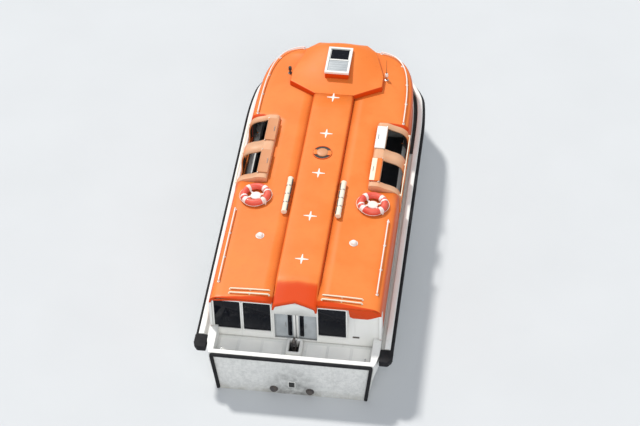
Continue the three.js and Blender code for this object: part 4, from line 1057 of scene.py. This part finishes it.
class LIFEBOAT_OT_boarding(bpy.types.Operator):
    """Make the hoods over the boarding places, their roof lids and their guard rails"""
    bl_idname = "lifeboat.boarding"
    bl_label = "Boarding places"

    def execute(self, context):
        x, z, posts = GUARD_RAIL.values()
        ends = [HOOD_ENDS[0] + 0.04, 0.5 * sum(HOOD_ENDS), HOOD_ENDS[1] - 0.04]
        rail = merged(tube([[x, y_of(s), z] for s in ends], 0.014),
                      *(slab([x - 0.02, y_of(s), z], [0.04, 0.04, 0.04], 0.004, 0.012, "x") for s in posts))
        lugs = [slab([LUG["x"], y_of(s), LUG["z"]], [0.028, 0.023, 0.052], 0.004, 0.008)
                for start, stop in GATES.values() for s in (start - LUG["gap"], stop + LUG["gap"])]
        for side, sign in SIDES.items():
            make(f"boarding_hood_{side}", hood_grid(), "hood", replaces=[f"side_housing_{side}"], sign=sign,
                 smooth=40, wall=HOOD_WALL)
            make(f"shoulder_rail_{side}", rail, "cream", sign=sign)
            make(f"lid_lugs_{side}", merged(*lugs), "steel", sign=sign)
            for gate in GATES:
                self.lid(f"{side}_{gate}", sign)
        return {"FINISHED"}

    def lid(self, name, sign):
        """A lid with its handle; the starboard aft one has a pale strip along its inboard edge."""
        node = f"roof_lid_{name}"
        round_copy(f"lid_{name}", node, LID_FINISHES[name], 0.007, body=node)
        low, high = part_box(node)
        inboard, middle = low.x if sign > 0 else high.x, (low.y + high.y) / 2
        foot = [inboard + sign * 0.06, middle - 0.09, high.z - 0.012]
        make(f"lid_handle_{name}", handle(foot, (0, 0, 0.024), (0, 0.18, 0), 0.01, 0.007), "steel", node)
        if name == "starboard_aft":
            size = [0.125, high.y - low.y - 0.02, 0.022]
            strip = slab([inboard + sign * 0.065, middle, high.z - 0.008], size)
            make(f"lid_strip_{name}", strip, "cream", node)


# Aft bulkhead: openings as x from and x to
BULKHEAD_S = 0.85
BULKHEAD_HALF = 1.983
BULKHEAD_WALL = 0.06
COVER_INNER = 1.972
AFT_WINDOWS = {"port_outer": (1.30, 1.93), "port_inner": (0.58, 1.235), "starboard": (-1.20, -0.535)}
AFT_WINDOW_Z = (1.205, 2.14)
DOORWAY = {"half": 0.50, "low": 0.985, "high": 1.83}
# Columns: distance from the centreline, height of the bulkhead's top
BULKHEAD_TOP = np.array([[0.0, 2.203], [0.5, 2.19], [1.88, 2.188], [1.93, 2.165], [1.96, 2.13],
                         [BULKHEAD_HALF, 2.06]])
# Outline (s, z) of the white corner that wraps round the canopy's aft end, with a raked fore edge
CORNER_COVER = [[0.808, 1.268], [1.13, 1.274], [1.06, 2.0], [0.99, 2.06], [0.808, 2.06]]


def bulkhead_grid():
    """Flat sheet facing aft: columns at the openings' sides, rows at their sills and heads, squeezed under
    the top line; cells in the openings are dropped."""
    sides = [side for pair in AFT_WINDOWS.values() for side in pair]
    sides += [-BULKHEAD_HALF, -1.96, -1.93, -1.6, -DOORWAY["half"], 0.0, DOORWAY["half"], 1.96, BULKHEAD_HALF]
    x = np.array(sorted(sides, reverse=True))
    rows = np.array([AFT_DECK, DOORWAY["low"], AFT_WINDOW_Z[0], DOORWAY["high"], AFT_WINDOW_Z[1], 3.0])
    top = np.interp(np.abs(x), *BULKHEAD_TOP.T)
    z = np.minimum(rows[None, :], top[:, None] - 0.004 * np.arange(len(rows))[::-1])
    across = 0.5 * (x[:-1] + x[1:])[:, None]
    level = 0.5 * (rows[:-1] + rows[1:])[None, :]
    hole = (np.abs(across) < DOORWAY["half"]) & between(level, DOORWAY["low"], DOORWAY["high"])
    for ends in AFT_WINDOWS.values():
        hole |= between(across, *ends) & between(level, *AFT_WINDOW_Z)
    return grid(xyz(x[:, None], y_of(BULKHEAD_S), z), keep=~hole)


class LIFEBOAT_OT_bulkhead(bpy.types.Operator):
    """Make the aft bulkhead, its doors and windows, and the bow door"""
    bl_idname = "lifeboat.bulkhead"
    bl_label = "Bulkhead and doors"

    def execute(self, context):
        make("bulkhead_moulding", bulkhead_grid(), "white", replaces=["aft_bulkhead"], wall=BULKHEAD_WALL,
             outward=False)
        for name, (low, high) in AFT_WINDOWS.items():
            self.aft_window(name, low, high)
        outline = rounded_outline(on_side(CORNER_COVER), 0.03)
        cover = prism(outline, COVER_INNER, CANOPY_HALF + 0.005, 0.004, normal="x")
        for side, sign in SIDES.items():
            make(f"cabin_corner_{side}", cover, "white", sign=sign)
        for side in SIDES:
            self.bow_window(f"bow_window_{side}")
        for side, sign in SIDES.items():
            self.door(side, sign)
        round_copy("bow_door_leaf", "bow_door", "orange", 0.005, body="bow_door")
        foot = [-0.2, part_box("bow_door")[0].y + 0.002, 1.76]
        make("bow_door_handle", handle(foot, (0, -0.014, 0), (0, 0, 0.12), 0.015, 0.007), "steel", "bow_door")
        plate = slab([1.43, y_of(BULKHEAD_S) + 0.006, 1.25], [0.16, 0.014, 0.045], 0.004, 0.012, "y")
        make("bulkhead_handle", plate, "dark_steel", sign=-1.0)
        return {"FINISHED"}

    def aft_window(self, name, low, high):
        """Pane with a raised white frame round its opening."""
        x, z = 0.5 * (low + high), 0.5 * sum(AFT_WINDOW_Z)
        width, height = high - low, AFT_WINDOW_Z[1] - AFT_WINDOW_Z[0]
        pane = slab([x, y_of(BULKHEAD_S + 0.018), z], [width + 0.01, 0.008, height + 0.01], 0.002, 0.02, "y")
        make(f"window_pane_{name}", pane, "glass", replaces=[f"aft_window_{name}"])
        path = rectangle(width + 0.026, height + 0.026, 0.05, 5)
        path = xyz(x + path[:, 0], y_of(BULKHEAD_S) + 0.004, z + path[:, 1])
        rim = swept(rectangle(0.036, 0.03, 0.008), path, up=(0, 1, 0), closed=True)
        make(f"window_frame_{name}", rim, "white")

    def bow_window(self, node):
        """Glass finish on a bow window, and a rubber bead in the corner between the pane and its frame."""
        dress_node(node, "glass")
        low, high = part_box(node)
        middle, size = (low + high) / 2, high - low
        path = rectangle(size.x - 0.012, size.z - 0.012, 0.03, 5)
        path = xyz(middle.x + path[:, 0], middle.y, middle.z + path[:, 1])
        bead = swept(rectangle(0.012, 0.024, 0.004), path, up=(0, 1, 0), closed=True)
        make(f"seal_{node}", bead, "seal")

    def door(self, side, sign):
        """Door leaf with a pale meeting stile, a dark window slot and a handle."""
        node = f"aft_door_{side}"
        round_copy(f"door_leaf_{side}", node, "grey", 0.004, 2, node)
        low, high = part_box(node)
        inner, middle, height = abs(low.x if sign > 0 else high.x), 0.5 * (low.z + high.z), high.z - low.z
        stile = slab([inner + 0.03, high.y + 0.004, middle], [0.055, 0.012, height - 0.03], 0.003, 0.008, "y")
        make(f"door_stile_{side}", stile, "white", node, sign=sign)
        slot = slab([inner + 0.135, high.y + 0.002, middle], [0.10, 0.010, height - 0.14], 0.003, 0.03, "y")
        make(f"door_light_{side}", slot, "glass", node, sign=sign)
        grip = handle([inner + 0.235, high.y - 0.002, 1.33], (0, 0.032, 0), (0, 0, 0.155), 0.015, 0.008)
        make(f"door_handle_{side}", grip, "steel", node, sign=sign)


# Roof gear
CROSSES = [7.92, 6.53, 5.07, 3.55, 2.09]
ROOF_DOMES = {"s": 2.9, "x": 1.13, "radius": 0.105, "height": 0.075, "foot": 0.012}
VENT = {"s": 5.81, "radius": 0.242, "inner": 0.222, "cap": 0.145}
TUBE = {"from": 3.65, "to": 4.86, "x": 0.66, "radius": 0.072}
BUOY = {"s": 4.24, "x": 1.44, "ring": 0.29, "tube": 0.085}
BUOY_BANDS = (0.785, 2.356, 3.927, 5.498)
BUOY_STRAPS = (0.35, -0.75)
RAIL = {"in": 0.16, "lift": 0.07, "last": 1.0, "post": 0.0125, "end_post": 0.0165}
RAIL_FOOT = [[0.034, -0.006], [0.034, 0.008], [0.017, 0.014]]
# From s, to s (the fore ones go on round the corner), number of posts
RAILS = {"aft": (1.33, 3.76, 4), "fore": (7.33, 8.9, 5)}
LAMP = {"s": 8.95, "x": 1.265, "height": 0.19}
SLOPE_BARS = {"s": (0.97, 1.10), "x": (0.62, 1.08, 1.56), "fall": (0.0, 0.012, 0.035), "lift": 0.045}


def on_roof(sign, x, s, lift):
    """Matrix that stands a shape on the side roof, square to its slope."""
    tilt = Matrix.Rotation(-sign * math.atan(ROOF_SLOPE), 4, "Y")
    return Matrix.Translation((sign * x, y_of(s), roof_at(x) + lift)) @ tilt


class LIFEBOAT_OT_roof_gear(bpy.types.Operator):
    """Make the rails, lifebuoys, stowage tubes, vent, small domes, crosses and lamp posts on the roof"""
    bl_idname = "lifeboat.roof_gear"
    bl_label = "Roof gear"

    def execute(self, context):
        sizes = context.scene.lifeboat_sizes
        self.crosses(sizes.cross_arm / 2, sizes.cross_span / 2)
        self.vent()
        for side, sign in SIDES.items():
            self.lifebuoy(side, sign, sizes.strap)
            self.stowage_tube(side, sign)
            self.small_dome(side, sign)
            self.rails(side, sign, sizes.rail)
            self.aft_bars(side, sign)
            self.lamp_post(side, sign)
        return {"FINISHED"}

    def crosses(self, arm, tip):
        """Thin plates with four arms that taper to points, along the middle of the spine."""
        quarter = np.array([[tip, -arm * 0.35], [tip, arm * 0.35], [arm, arm]])
        turns = [np.array([[math.cos(a), math.sin(a)], [-math.sin(a), math.cos(a)]]) for a in arc(4)]
        outline = np.concatenate([quarter @ turn for turn in turns])
        for number, s in enumerate(CROSSES):
            plate = prism(outline + [0, y_of(s)], SPINE["top"] + 0.004, SPINE["top"] + 0.008)
            make(f"reflective_cross_{number + 1}", plate, "band")

    def vent(self):
        """Flat vent: a base ring, a dark gap broken by two broad lugs, and a low crowned cap; the black ring
        in the gap is painted shade.
        """
        at = np.array([0, y_of(VENT["s"]), SPINE["top"] + 0.004])
        outer, inner, cap = VENT["radius"], VENT["inner"], VENT["cap"]
        rim = lathe([[outer, 0.0], [outer, 0.014], [outer - 0.006, 0.02], [inner + 0.006, 0.02],
                     [inner, 0.014], [inner, 0.0]], at, count=48)
        out, size = 0.5 * (inner + cap - 0.004), [inner - cap + 0.03, 0.17, 0.02]
        lugs = [slab(at + [sign * out, 0, 0.01], size, 0.005, 0.02) for sign in (1, -1)]
        make("vent_cap", merged(rim, *lugs), "orange", replaces=["roof_vent"])
        crown = [[cap, 0.0], [cap, 0.022], [cap - 0.008, 0.03], [cap * 0.6, 0.04], [0.002, 0.044]]
        make("vent_crown", lathe(crown, at, count=48), "pale")
        # Black ring at the gap's floor: painted shade
        gap = [[inner - 0.001, 0.0], [inner - 0.001, 0.006], [cap + 0.001, 0.006], [cap + 0.001, 0.0]]
        make("vent_gap", lathe(gap, at, count=48), "seal")

    def lifebuoy(self, side, sign, strap):
        """Torus with four bands, a grab line looped between them, and two straps that hold it to the roof."""
        major, minor = BUOY["ring"], BUOY["tube"]
        seat = on_roof(sign, BUOY["x"], BUOY["s"], minor * math.cos(math.pi / 8) + 2 * SEAT)
        skin = ring(major, minor, 64, 20)
        make(f"buoy_ring_{side}", moved(skin, seat), "buoy", replaces=[f"lifebuoy_{side}"])
        bands = [ring(major, minor + 0.0025, 9, 24, a - 0.15, a + 0.15) for a in BUOY_BANDS]
        make(f"buoy_bands_{side}", moved(merged(*bands), seat), "band")
        angle = arc(96)
        reach = major + minor + 0.006 + 0.022 * np.abs(np.sin(2 * (angle - BUOY_BANDS[0]))) ** 1.3
        line = swept(circle(0.005, 8), xyz(reach * np.cos(angle), reach * np.sin(angle), -0.012), closed=True)
        make(f"buoy_grab_line_{side}", moved(line, seat), "band")
        hug, out, foot = minor + 0.004, np.array([major, 0, 0]), [0, 0, -minor * 0.92]
        over = hug * xyz(np.cos(np.linspace(math.pi, 0, 15)), 0, np.sin(np.linspace(math.pi, 0, 15)))
        low = [major - minor - 0.02, 0, -0.03]
        path = np.concatenate([[foot - out - [hug, 0, 0]], over - out, [low * np.array([-1, 1, 1])],
                               [[0, 0, -0.022]], [low], over + out, [foot + out + [hug, 0, 0]]])
        band = swept(rectangle(0.004, strap), path, up=(0, 1, 0))
        straps = merged(*(moved(band, Matrix.Rotation(turn, 4, "Z")) for turn in BUOY_STRAPS))
        make(f"buoy_straps_{side}", moved(straps, seat), "band")
        pad = lathe([[0.13, -0.075], [0.13, -0.03], [0.115, -0.018], [0.002, -0.012]], count=24)
        make(f"buoy_pad_{side}", moved(pad, seat), "band")

    def stowage_tube(self, side, sign):
        """Closed tube in saddles: end caps, three straps, and dark slots along its inboard side as painted
        shadow.
        """
        low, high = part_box(f"stowage_tube_{side}")
        x, radius = TUBE["x"], TUBE["radius"]
        z, start, length = high.z - radius, y_of(TUBE["from"]), TUBE["to"] - TUBE["from"]
        lip = [[0.002, 0.0], [radius - 0.012, 0.0], [radius, 0.012], [radius, 0.05], [radius - 0.006, 0.056]]
        body = lathe(lip + [[r, length - h] for r, h in lip[::-1]], (x, start, z), (0, -1, 0))
        feet = [slab([x, y_of(s), 0.5 * (low.z + z)], [0.11, 0.06, z - low.z], 0.006)
                for s in (TUBE["from"] + 0.2, TUBE["to"] - 0.2)]
        whole = merged(body, *feet)
        make(f"tube_moulding_{side}", whole, "cream", replaces=[f"stowage_tube_{side}"], sign=sign)
        # Dark slots along the inboard side: painted shadow between the tube's feet.
        inboard, raised, slot = x - radius * 0.93, z + radius * 0.28, [0.022, length * 0.17, 0.045]
        shade_slots = [slab([inboard, start - length * share, raised], slot, 0.004, 0.01, "x")
                 for share in (0.14, 0.38, 0.62, 0.86)]
        make(f"tube_slots_{side}", merged(*shade_slots), "seal", sign=sign)
        hoop = [[radius - 0.006, -0.016], [radius + 0.0015, -0.014], [radius + 0.0015, 0.014],
                [radius - 0.006, 0.016]]
        straps = [lathe(hoop, (x, start - length * share, z), (0, -1, 0)) for share in (0.26, 0.5, 0.74)]
        make(f"tube_straps_{side}", merged(*straps), "steel", sign=sign)

    def small_dome(self, side, sign):
        """Low round dome on a flange: quarter ellipse turned about the roof's normal."""
        radius, height = ROOF_DOMES["radius"], ROOF_DOMES["height"]
        foot = ROOF_DOMES["foot"]
        crown = [[radius * 0.8 * math.cos(a), foot + height * math.sin(a)]
                 for a in np.linspace(0, math.pi / 2, 8)[:-1]]
        profile = [[radius, 0.0], [radius, 0.008], [radius * 0.95, foot], *crown, [0.002, foot + height]]
        seat = on_roof(sign, ROOF_DOMES["x"], ROOF_DOMES["s"], 0.001)
        make(f"dome_light_{side}", moved(lathe(profile), seat), "lens")

    def rails(self, side, sign, radius):
        """Grab rails on flanged posts that follow the roof's edge, the fore ones round the front corners."""
        x, s, normal, _ = canopy_columns()
        place = np.column_stack([x, s]) - normal * RAIL["in"]
        height = shoulder_height(RAIL["in"], normal[:, 1] ** 2) + RAIL["lift"]
        whole = xyz(place[:, 0], y_of(place[:, 1]), height)
        drop = np.array([0, 0, RAIL["lift"]])
        for name, (start, stop, count) in RAILS.items():
            ends = [[place[0, 0], y_of(at), np.interp(at, s, height)] for at in (start, stop)]
            onward = whole[(s > stop) & (x > RAIL["last"])] if name == "fore" else ends[1:]
            route = np.concatenate([ends[:1], whole[between(s, start, stop)], onward])
            bar = rounded_path(np.concatenate([[route[0] - drop], route, [route[-1] - drop]]), 0.012, 4)
            along = np.concatenate([[0], np.cumsum(np.linalg.norm(np.diff(route, axis=0), axis=1))])
            posts = []
            for share in np.linspace(0, 1, count):
                foot = [np.interp(share * along[-1], along, column) for column in (route - drop).T]
                thick = RAIL["post"] if 0 < share < 1 else RAIL["end_post"]
                profile = [*RAIL_FOOT, [thick, 0.02], [thick, RAIL["lift"] - 0.004]]
                posts.append(lathe(profile, foot, count=16))
            rail = merged(tube(bar, radius, up=(1, -1, 0)), *posts)
            make(f"grab_rail_{name}_{side}", rail, "band", replaces=[f"roof_rail_{name}_{side}"], sign=sign)

    def aft_bars(self, side, sign):
        """Two slim bars across the aft slope of the roof, on short posts."""
        parts = []
        for s in SLOPE_BARS["s"]:
            z = min(float(aft_slope(np.array(s))), roof_at(1.05)) + SLOPE_BARS["lift"]
            ends = [[x, y_of(s), z - fall] for x, fall in zip(SLOPE_BARS["x"], SLOPE_BARS["fall"])]
            parts.append(tube(smooth_path(ends, 5), 0.017, up=(0, 1, 0)))
            parts += [lathe([[0.024, -0.05], [0.024, -0.03], [0.01, -0.024], [0.01, 0.0]], end, count=12)
                      for end in ends]
        make(f"slope_bars_{side}", merged(*parts), "cream", sign=sign)

    def lamp_post(self, side, sign):
        """Post on a flange with a lantern; the starboard one carries a whip antenna."""
        at = (sign * LAMP["x"], y_of(LAMP["s"]), roof_at(LAMP["x"]) - 0.004)
        top = LAMP["height"]
        stand = [[0.055, 0.0], [0.055, 0.012], [0.032, 0.02], [0.03, top - 0.07], [0.044, top - 0.066],
                 [0.044, top - 0.056]]
        lens = [[0.036, top - 0.06], [0.042, top - 0.052], [0.042, top + 0.01], [0.034, top + 0.024],
                [0.002, top + 0.03]]
        stand_finish, lens_finish = ("dark_steel", "seal") if sign > 0 else ("steel", "lens")
        make(f"lamp_stand_{side}", lathe(stand, at, count=24), stand_finish, replaces=[f"lamp_post_{side}"])
        make(f"lamp_lens_{side}", lathe(lens, at, count=24), lens_finish)
        if side == "starboard":
            whip = [[0.012, top + 0.02], [0.012, top + 0.07], [0.006, top + 0.08], [0.003, top + 0.478]]
            make("whip_antenna", lathe(whip, at, count=10), "seal")


# Deck gear. Pads as x, s, width and depth
DECK_PADS = [(0.52, 0.48, 0.46, 0.56), (1.06, 0.48, 0.5, 0.56), (1.58, 0.55, 0.4, 0.42)]
COAMING = {"wide": 0.30, "long": 0.42, "corner": 0.04, "s": 0.555, "z": 1.03}
COAMING_SECTION = [[-0.045, -0.085], [0.045, -0.085], [0.03, 0.07], [-0.03, 0.07]]
CLEAT = {"x": 1.70, "s": 0.26}
CLEAT_HORN = [[0, -0.125, 0.108], [0, -0.06, 0.09], [0, 0.06, 0.09], [0, 0.125, 0.108]]
EXHAUST = {"x": 0.43, "z": 0.15}
SOCKET_Z = 0.34
FLANGE = [[0.062, 0.0], [0.10, 0.0], [0.10, 0.012], [0.078, 0.018], [0.074, 0.05], [0.062, 0.05]]


class LIFEBOAT_OT_deck_gear(bpy.types.Operator):
    """Make the hook gear, coaming, non-slip pads, mooring cleats, exhausts and the socket on the transom"""
    bl_idname = "lifeboat.deck_gear"
    bl_label = "Deck gear"

    def execute(self, context):
        path = rectangle(COAMING["wide"], COAMING["long"], COAMING["corner"])
        path = xyz(path[:, 0], path[:, 1] + y_of(COAMING["s"]), COAMING["z"])
        make("hook_coaming", swept(rounded_outline(COAMING_SECTION, 0.012), path, closed=True), "white")
        floor, middle = HOOK_WELL["floor"], y_of(0.56)
        liner = [slab([sign * 0.0965, middle, floor + 0.10], [0.005, 0.34, 0.19], 0.001, 0.004, "x")
                 for sign in (1, -1)]
        base = prism(rectangle(0.196, 0.355, 0.01) + [0, middle], floor + 0.001, floor + 0.006)
        make("hook_well_liner", merged(base, *liner), "seal")
        for end in ("aft", "bow"):
            round_copy(f"{end}_hook_stand", f"{end}_hook_pedestal", "dark_steel", 0.004, 2)
            round_copy(f"{end}_hook_claw", f"{end}_hook", "dark_steel", 0.005, body=f"{end}_hook")
        pads = [slab([x, y_of(s), AFT_DECK + 0.002], [width, depth, 0.006], 0.002, 0.03)
                for x, s, width, depth in DECK_PADS]
        exhaust = (EXHAUST["x"], y_of(0.0) - 0.002, EXHAUST["z"])
        cleat = self.cleat(np.array([CLEAT["x"], y_of(CLEAT["s"]), AFT_DECK]))
        for side, sign in SIDES.items():
            make(f"deck_pads_{side}", merged(*pads), "grip", sign=sign)
            make(f"mooring_cleat_{side}", cleat, "steel", sign=sign)
            make(f"exhaust_flange_{side}", lathe(FLANGE, exhaust, (0, 1, 0)), "dark_steel", sign=sign)
            bore = lathe([[0.066, 0.0], [0.066, 0.02], [0.002, 0.02]], exhaust, (0, 1, 0))
            make(f"exhaust_bore_{side}", bore, "seal", sign=sign)
        socket = slab([0, y_of(0) + 0.004, SOCKET_Z], [0.14, 0.012, 0.17], 0.003, 0.012, "y")
        make("transom_socket", socket, "seal")
        rim = slab([0, y_of(0) + 0.002, SOCKET_Z], [0.17, 0.008, 0.20], 0.003, 0.02, "y")
        make("transom_socket_frame", rim, "white")
        return {"FINISHED"}

    def cleat(self, at):
        """Mooring cleat: a base plate, two posts and a horned bar."""
        base = slab(at + [0, 0, 0.007], [0.10, 0.20, 0.014], 0.004, 0.02)
        posts = [lathe([[0.022, 0.0], [0.018, 0.03], [0.02, 0.075]], at + [0, dy, 0.01], count=16)
                 for dy in (-0.045, 0.045)]
        return merged(base, *posts, tube(smooth_path(at + CLEAT_HORN), 0.017, 12))


class LIFEBOAT_OT_running_gear(bpy.types.Operator):
    """Finish the propellers and the rudders"""
    bl_idname = "lifeboat.running_gear"
    bl_label = "Running gear"

    def execute(self, context):
        for side in SIDES:
            round_copy(f"screw_{side}", f"propeller_{side}", "bronze", 0.003, 2, f"propeller_{side}", 30)
            round_copy(f"rudder_blade_{side}", f"rudder_{side}", "hull", 0.006, 2, f"rudder_{side}", 30)
        return {"FINISHED"}


class LIFEBOAT_OT_cabin(bpy.types.Operator):
    """Finish the benches, engines and helm station inside"""
    bl_idname = "lifeboat.cabin"
    bl_label = "Cabin"

    def execute(self, context):
        for side in SIDES:
            round_copy(f"bench_seat_{side}", f"bench_{side}", "seat", 0.03, 4)
            round_copy(f"engine_block_{side}", f"engine_{side}", "engine", 0.03)
        round_copy("helm_console", "helm_station", "grey", 0.02)
        return {"FINISHED"}


# Camera: place, look and up, as the fit to the photograph gives them
CAMERA_AT = Vector((-5.340, 35.814, 35.977))
CAMERA_LOOK = Vector((0.28852, -0.59274, -0.75194))
CAMERA_UP = Vector((0.10023, -0.76233, 0.63939))
CAMERA_TARGET = Vector((0.0, 0.35, 1.0))
# Lamps: name, where it stands seen from the boat, strength, spread in degrees, colour
LAMPS = [("key_light", (0.56, -0.62, 1.15), 2.7, 6, (1.0, 0.97, 0.92)),
         ("fill_light", (-0.25, 1.0, 0.8), 1.2, 50, (1.0, 0.98, 0.95))]
FLOOR_REACH = 60.0
SKY = {"colour": (0.86, 0.92, 1.0, 1.0), "strength": 0.5}


class LIFEBOAT_OT_stage(bpy.types.Operator):
    """Make the floor, the lights and the camera"""
    bl_idname = "lifeboat.stage"
    bl_label = "Stage"

    def execute(self, context):
        self.floor(tuple(context.scene.lifeboat_colours.floor))
        self.lights(context.scene)
        self.camera(context.scene)
        return {"FINISHED"}

    def floor(self, colour):
        """A wide plane at the waterline."""
        reach = np.linspace(-FLOOR_REACH, FLOOR_REACH, 3)
        floor = new_object("studio_floor", grid(xyz(reach[:, None], reach[None, :], 0.0)), outward=False)
        tree, shader, coords = start_material("floor", {"Roughness": 0.85})
        darker = tuple(0.93 * value for value in colour)
        tree.links.new(mix(tree, noise(tree, coords, 0.4, 4.0), colour, darker), shader.inputs["Base Color"])
        floor.data.materials.append(MATERIALS["floor"])

    def lights(self, scene):
        """A soft sun from the port bow, a broad fill from astern, and a pale sky."""
        for name, place, strength, wide, colour in LAMPS:
            sun = bpy.data.lights.new(name, "SUN")
            sun.energy = strength
            sun.angle = math.radians(wide)
            sun.color = colour
            lamp = bpy.data.objects.new(name, sun)
            lamp.rotation_euler = Vector(place).to_track_quat("Z", "Y").to_euler()
            scene.collection.objects.link(lamp)
        world = bpy.data.worlds.new("studio")
        world.use_nodes = True
        background = world.node_tree.nodes["Background"]
        background.inputs["Color"].default_value = SKY["colour"]
        background.inputs["Strength"].default_value = SKY["strength"]
        scene.world = world
        scene.view_settings.view_transform = "Standard"

    def camera(self, scene):
        """The photograph's viewpoint, turned to the boat by the smallest rotation."""
        back = -CAMERA_LOOK
        turn = Matrix((CAMERA_UP.cross(back), CAMERA_UP, back)).transposed()
        swing = CAMERA_LOOK.rotation_difference(CAMERA_TARGET - CAMERA_AT).to_matrix()
        data = bpy.data.cameras.new("camera")
        data.lens = scene.lifeboat_sizes.lens
        data.clip_end = 500
        camera = bpy.data.objects.new("camera", data)
        camera.matrix_world = Matrix.Translation(CAMERA_AT) @ (swing @ turn).to_4x4()
        scene.collection.objects.link(camera)
        scene.camera = camera


OPERATORS = [LIFEBOAT_OT_materials, LIFEBOAT_OT_stage, LIFEBOAT_OT_hull, LIFEBOAT_OT_fenders,
             LIFEBOAT_OT_canopy, LIFEBOAT_OT_dome, LIFEBOAT_OT_boarding, LIFEBOAT_OT_bulkhead,
             LIFEBOAT_OT_roof_gear, LIFEBOAT_OT_deck_gear, LIFEBOAT_OT_running_gear, LIFEBOAT_OT_cabin]


class LIFEBOAT_PT_panel(bpy.types.Panel):
    """Lists the boat's sizes, colours and building steps."""
    bl_label = "Lifeboat"
    bl_space_type = "VIEW_3D"
    bl_region_type = "UI"
    bl_category = "Lifeboat"

    def draw(self, context):
        layout = self.layout
        for group in (context.scene.lifeboat_sizes, context.scene.lifeboat_colours):
            for name in group.bl_rna.properties.keys():
                if name not in ("rna_type", "name"):
                    layout.prop(group, name)
        for operator in OPERATORS:
            layout.operator(operator.bl_idname)


CLASSES = [LifeboatColours, LifeboatSizes, *OPERATORS, LIFEBOAT_PT_panel]


def register():
    for each in CLASSES:
        bpy.utils.register_class(each)
    bpy.types.Scene.lifeboat_sizes = PointerProperty(type=LifeboatSizes)
    bpy.types.Scene.lifeboat_colours = PointerProperty(type=LifeboatColours)


def unregister():
    del bpy.types.Scene.lifeboat_sizes
    del bpy.types.Scene.lifeboat_colours
    for each in reversed(CLASSES):
        bpy.utils.unregister_class(each)


def main():
    register()
    for operator in OPERATORS:
        group, name = operator.bl_idname.split(".")
        getattr(getattr(bpy.ops, group), name)()


if __name__ == "__main__":
    main()
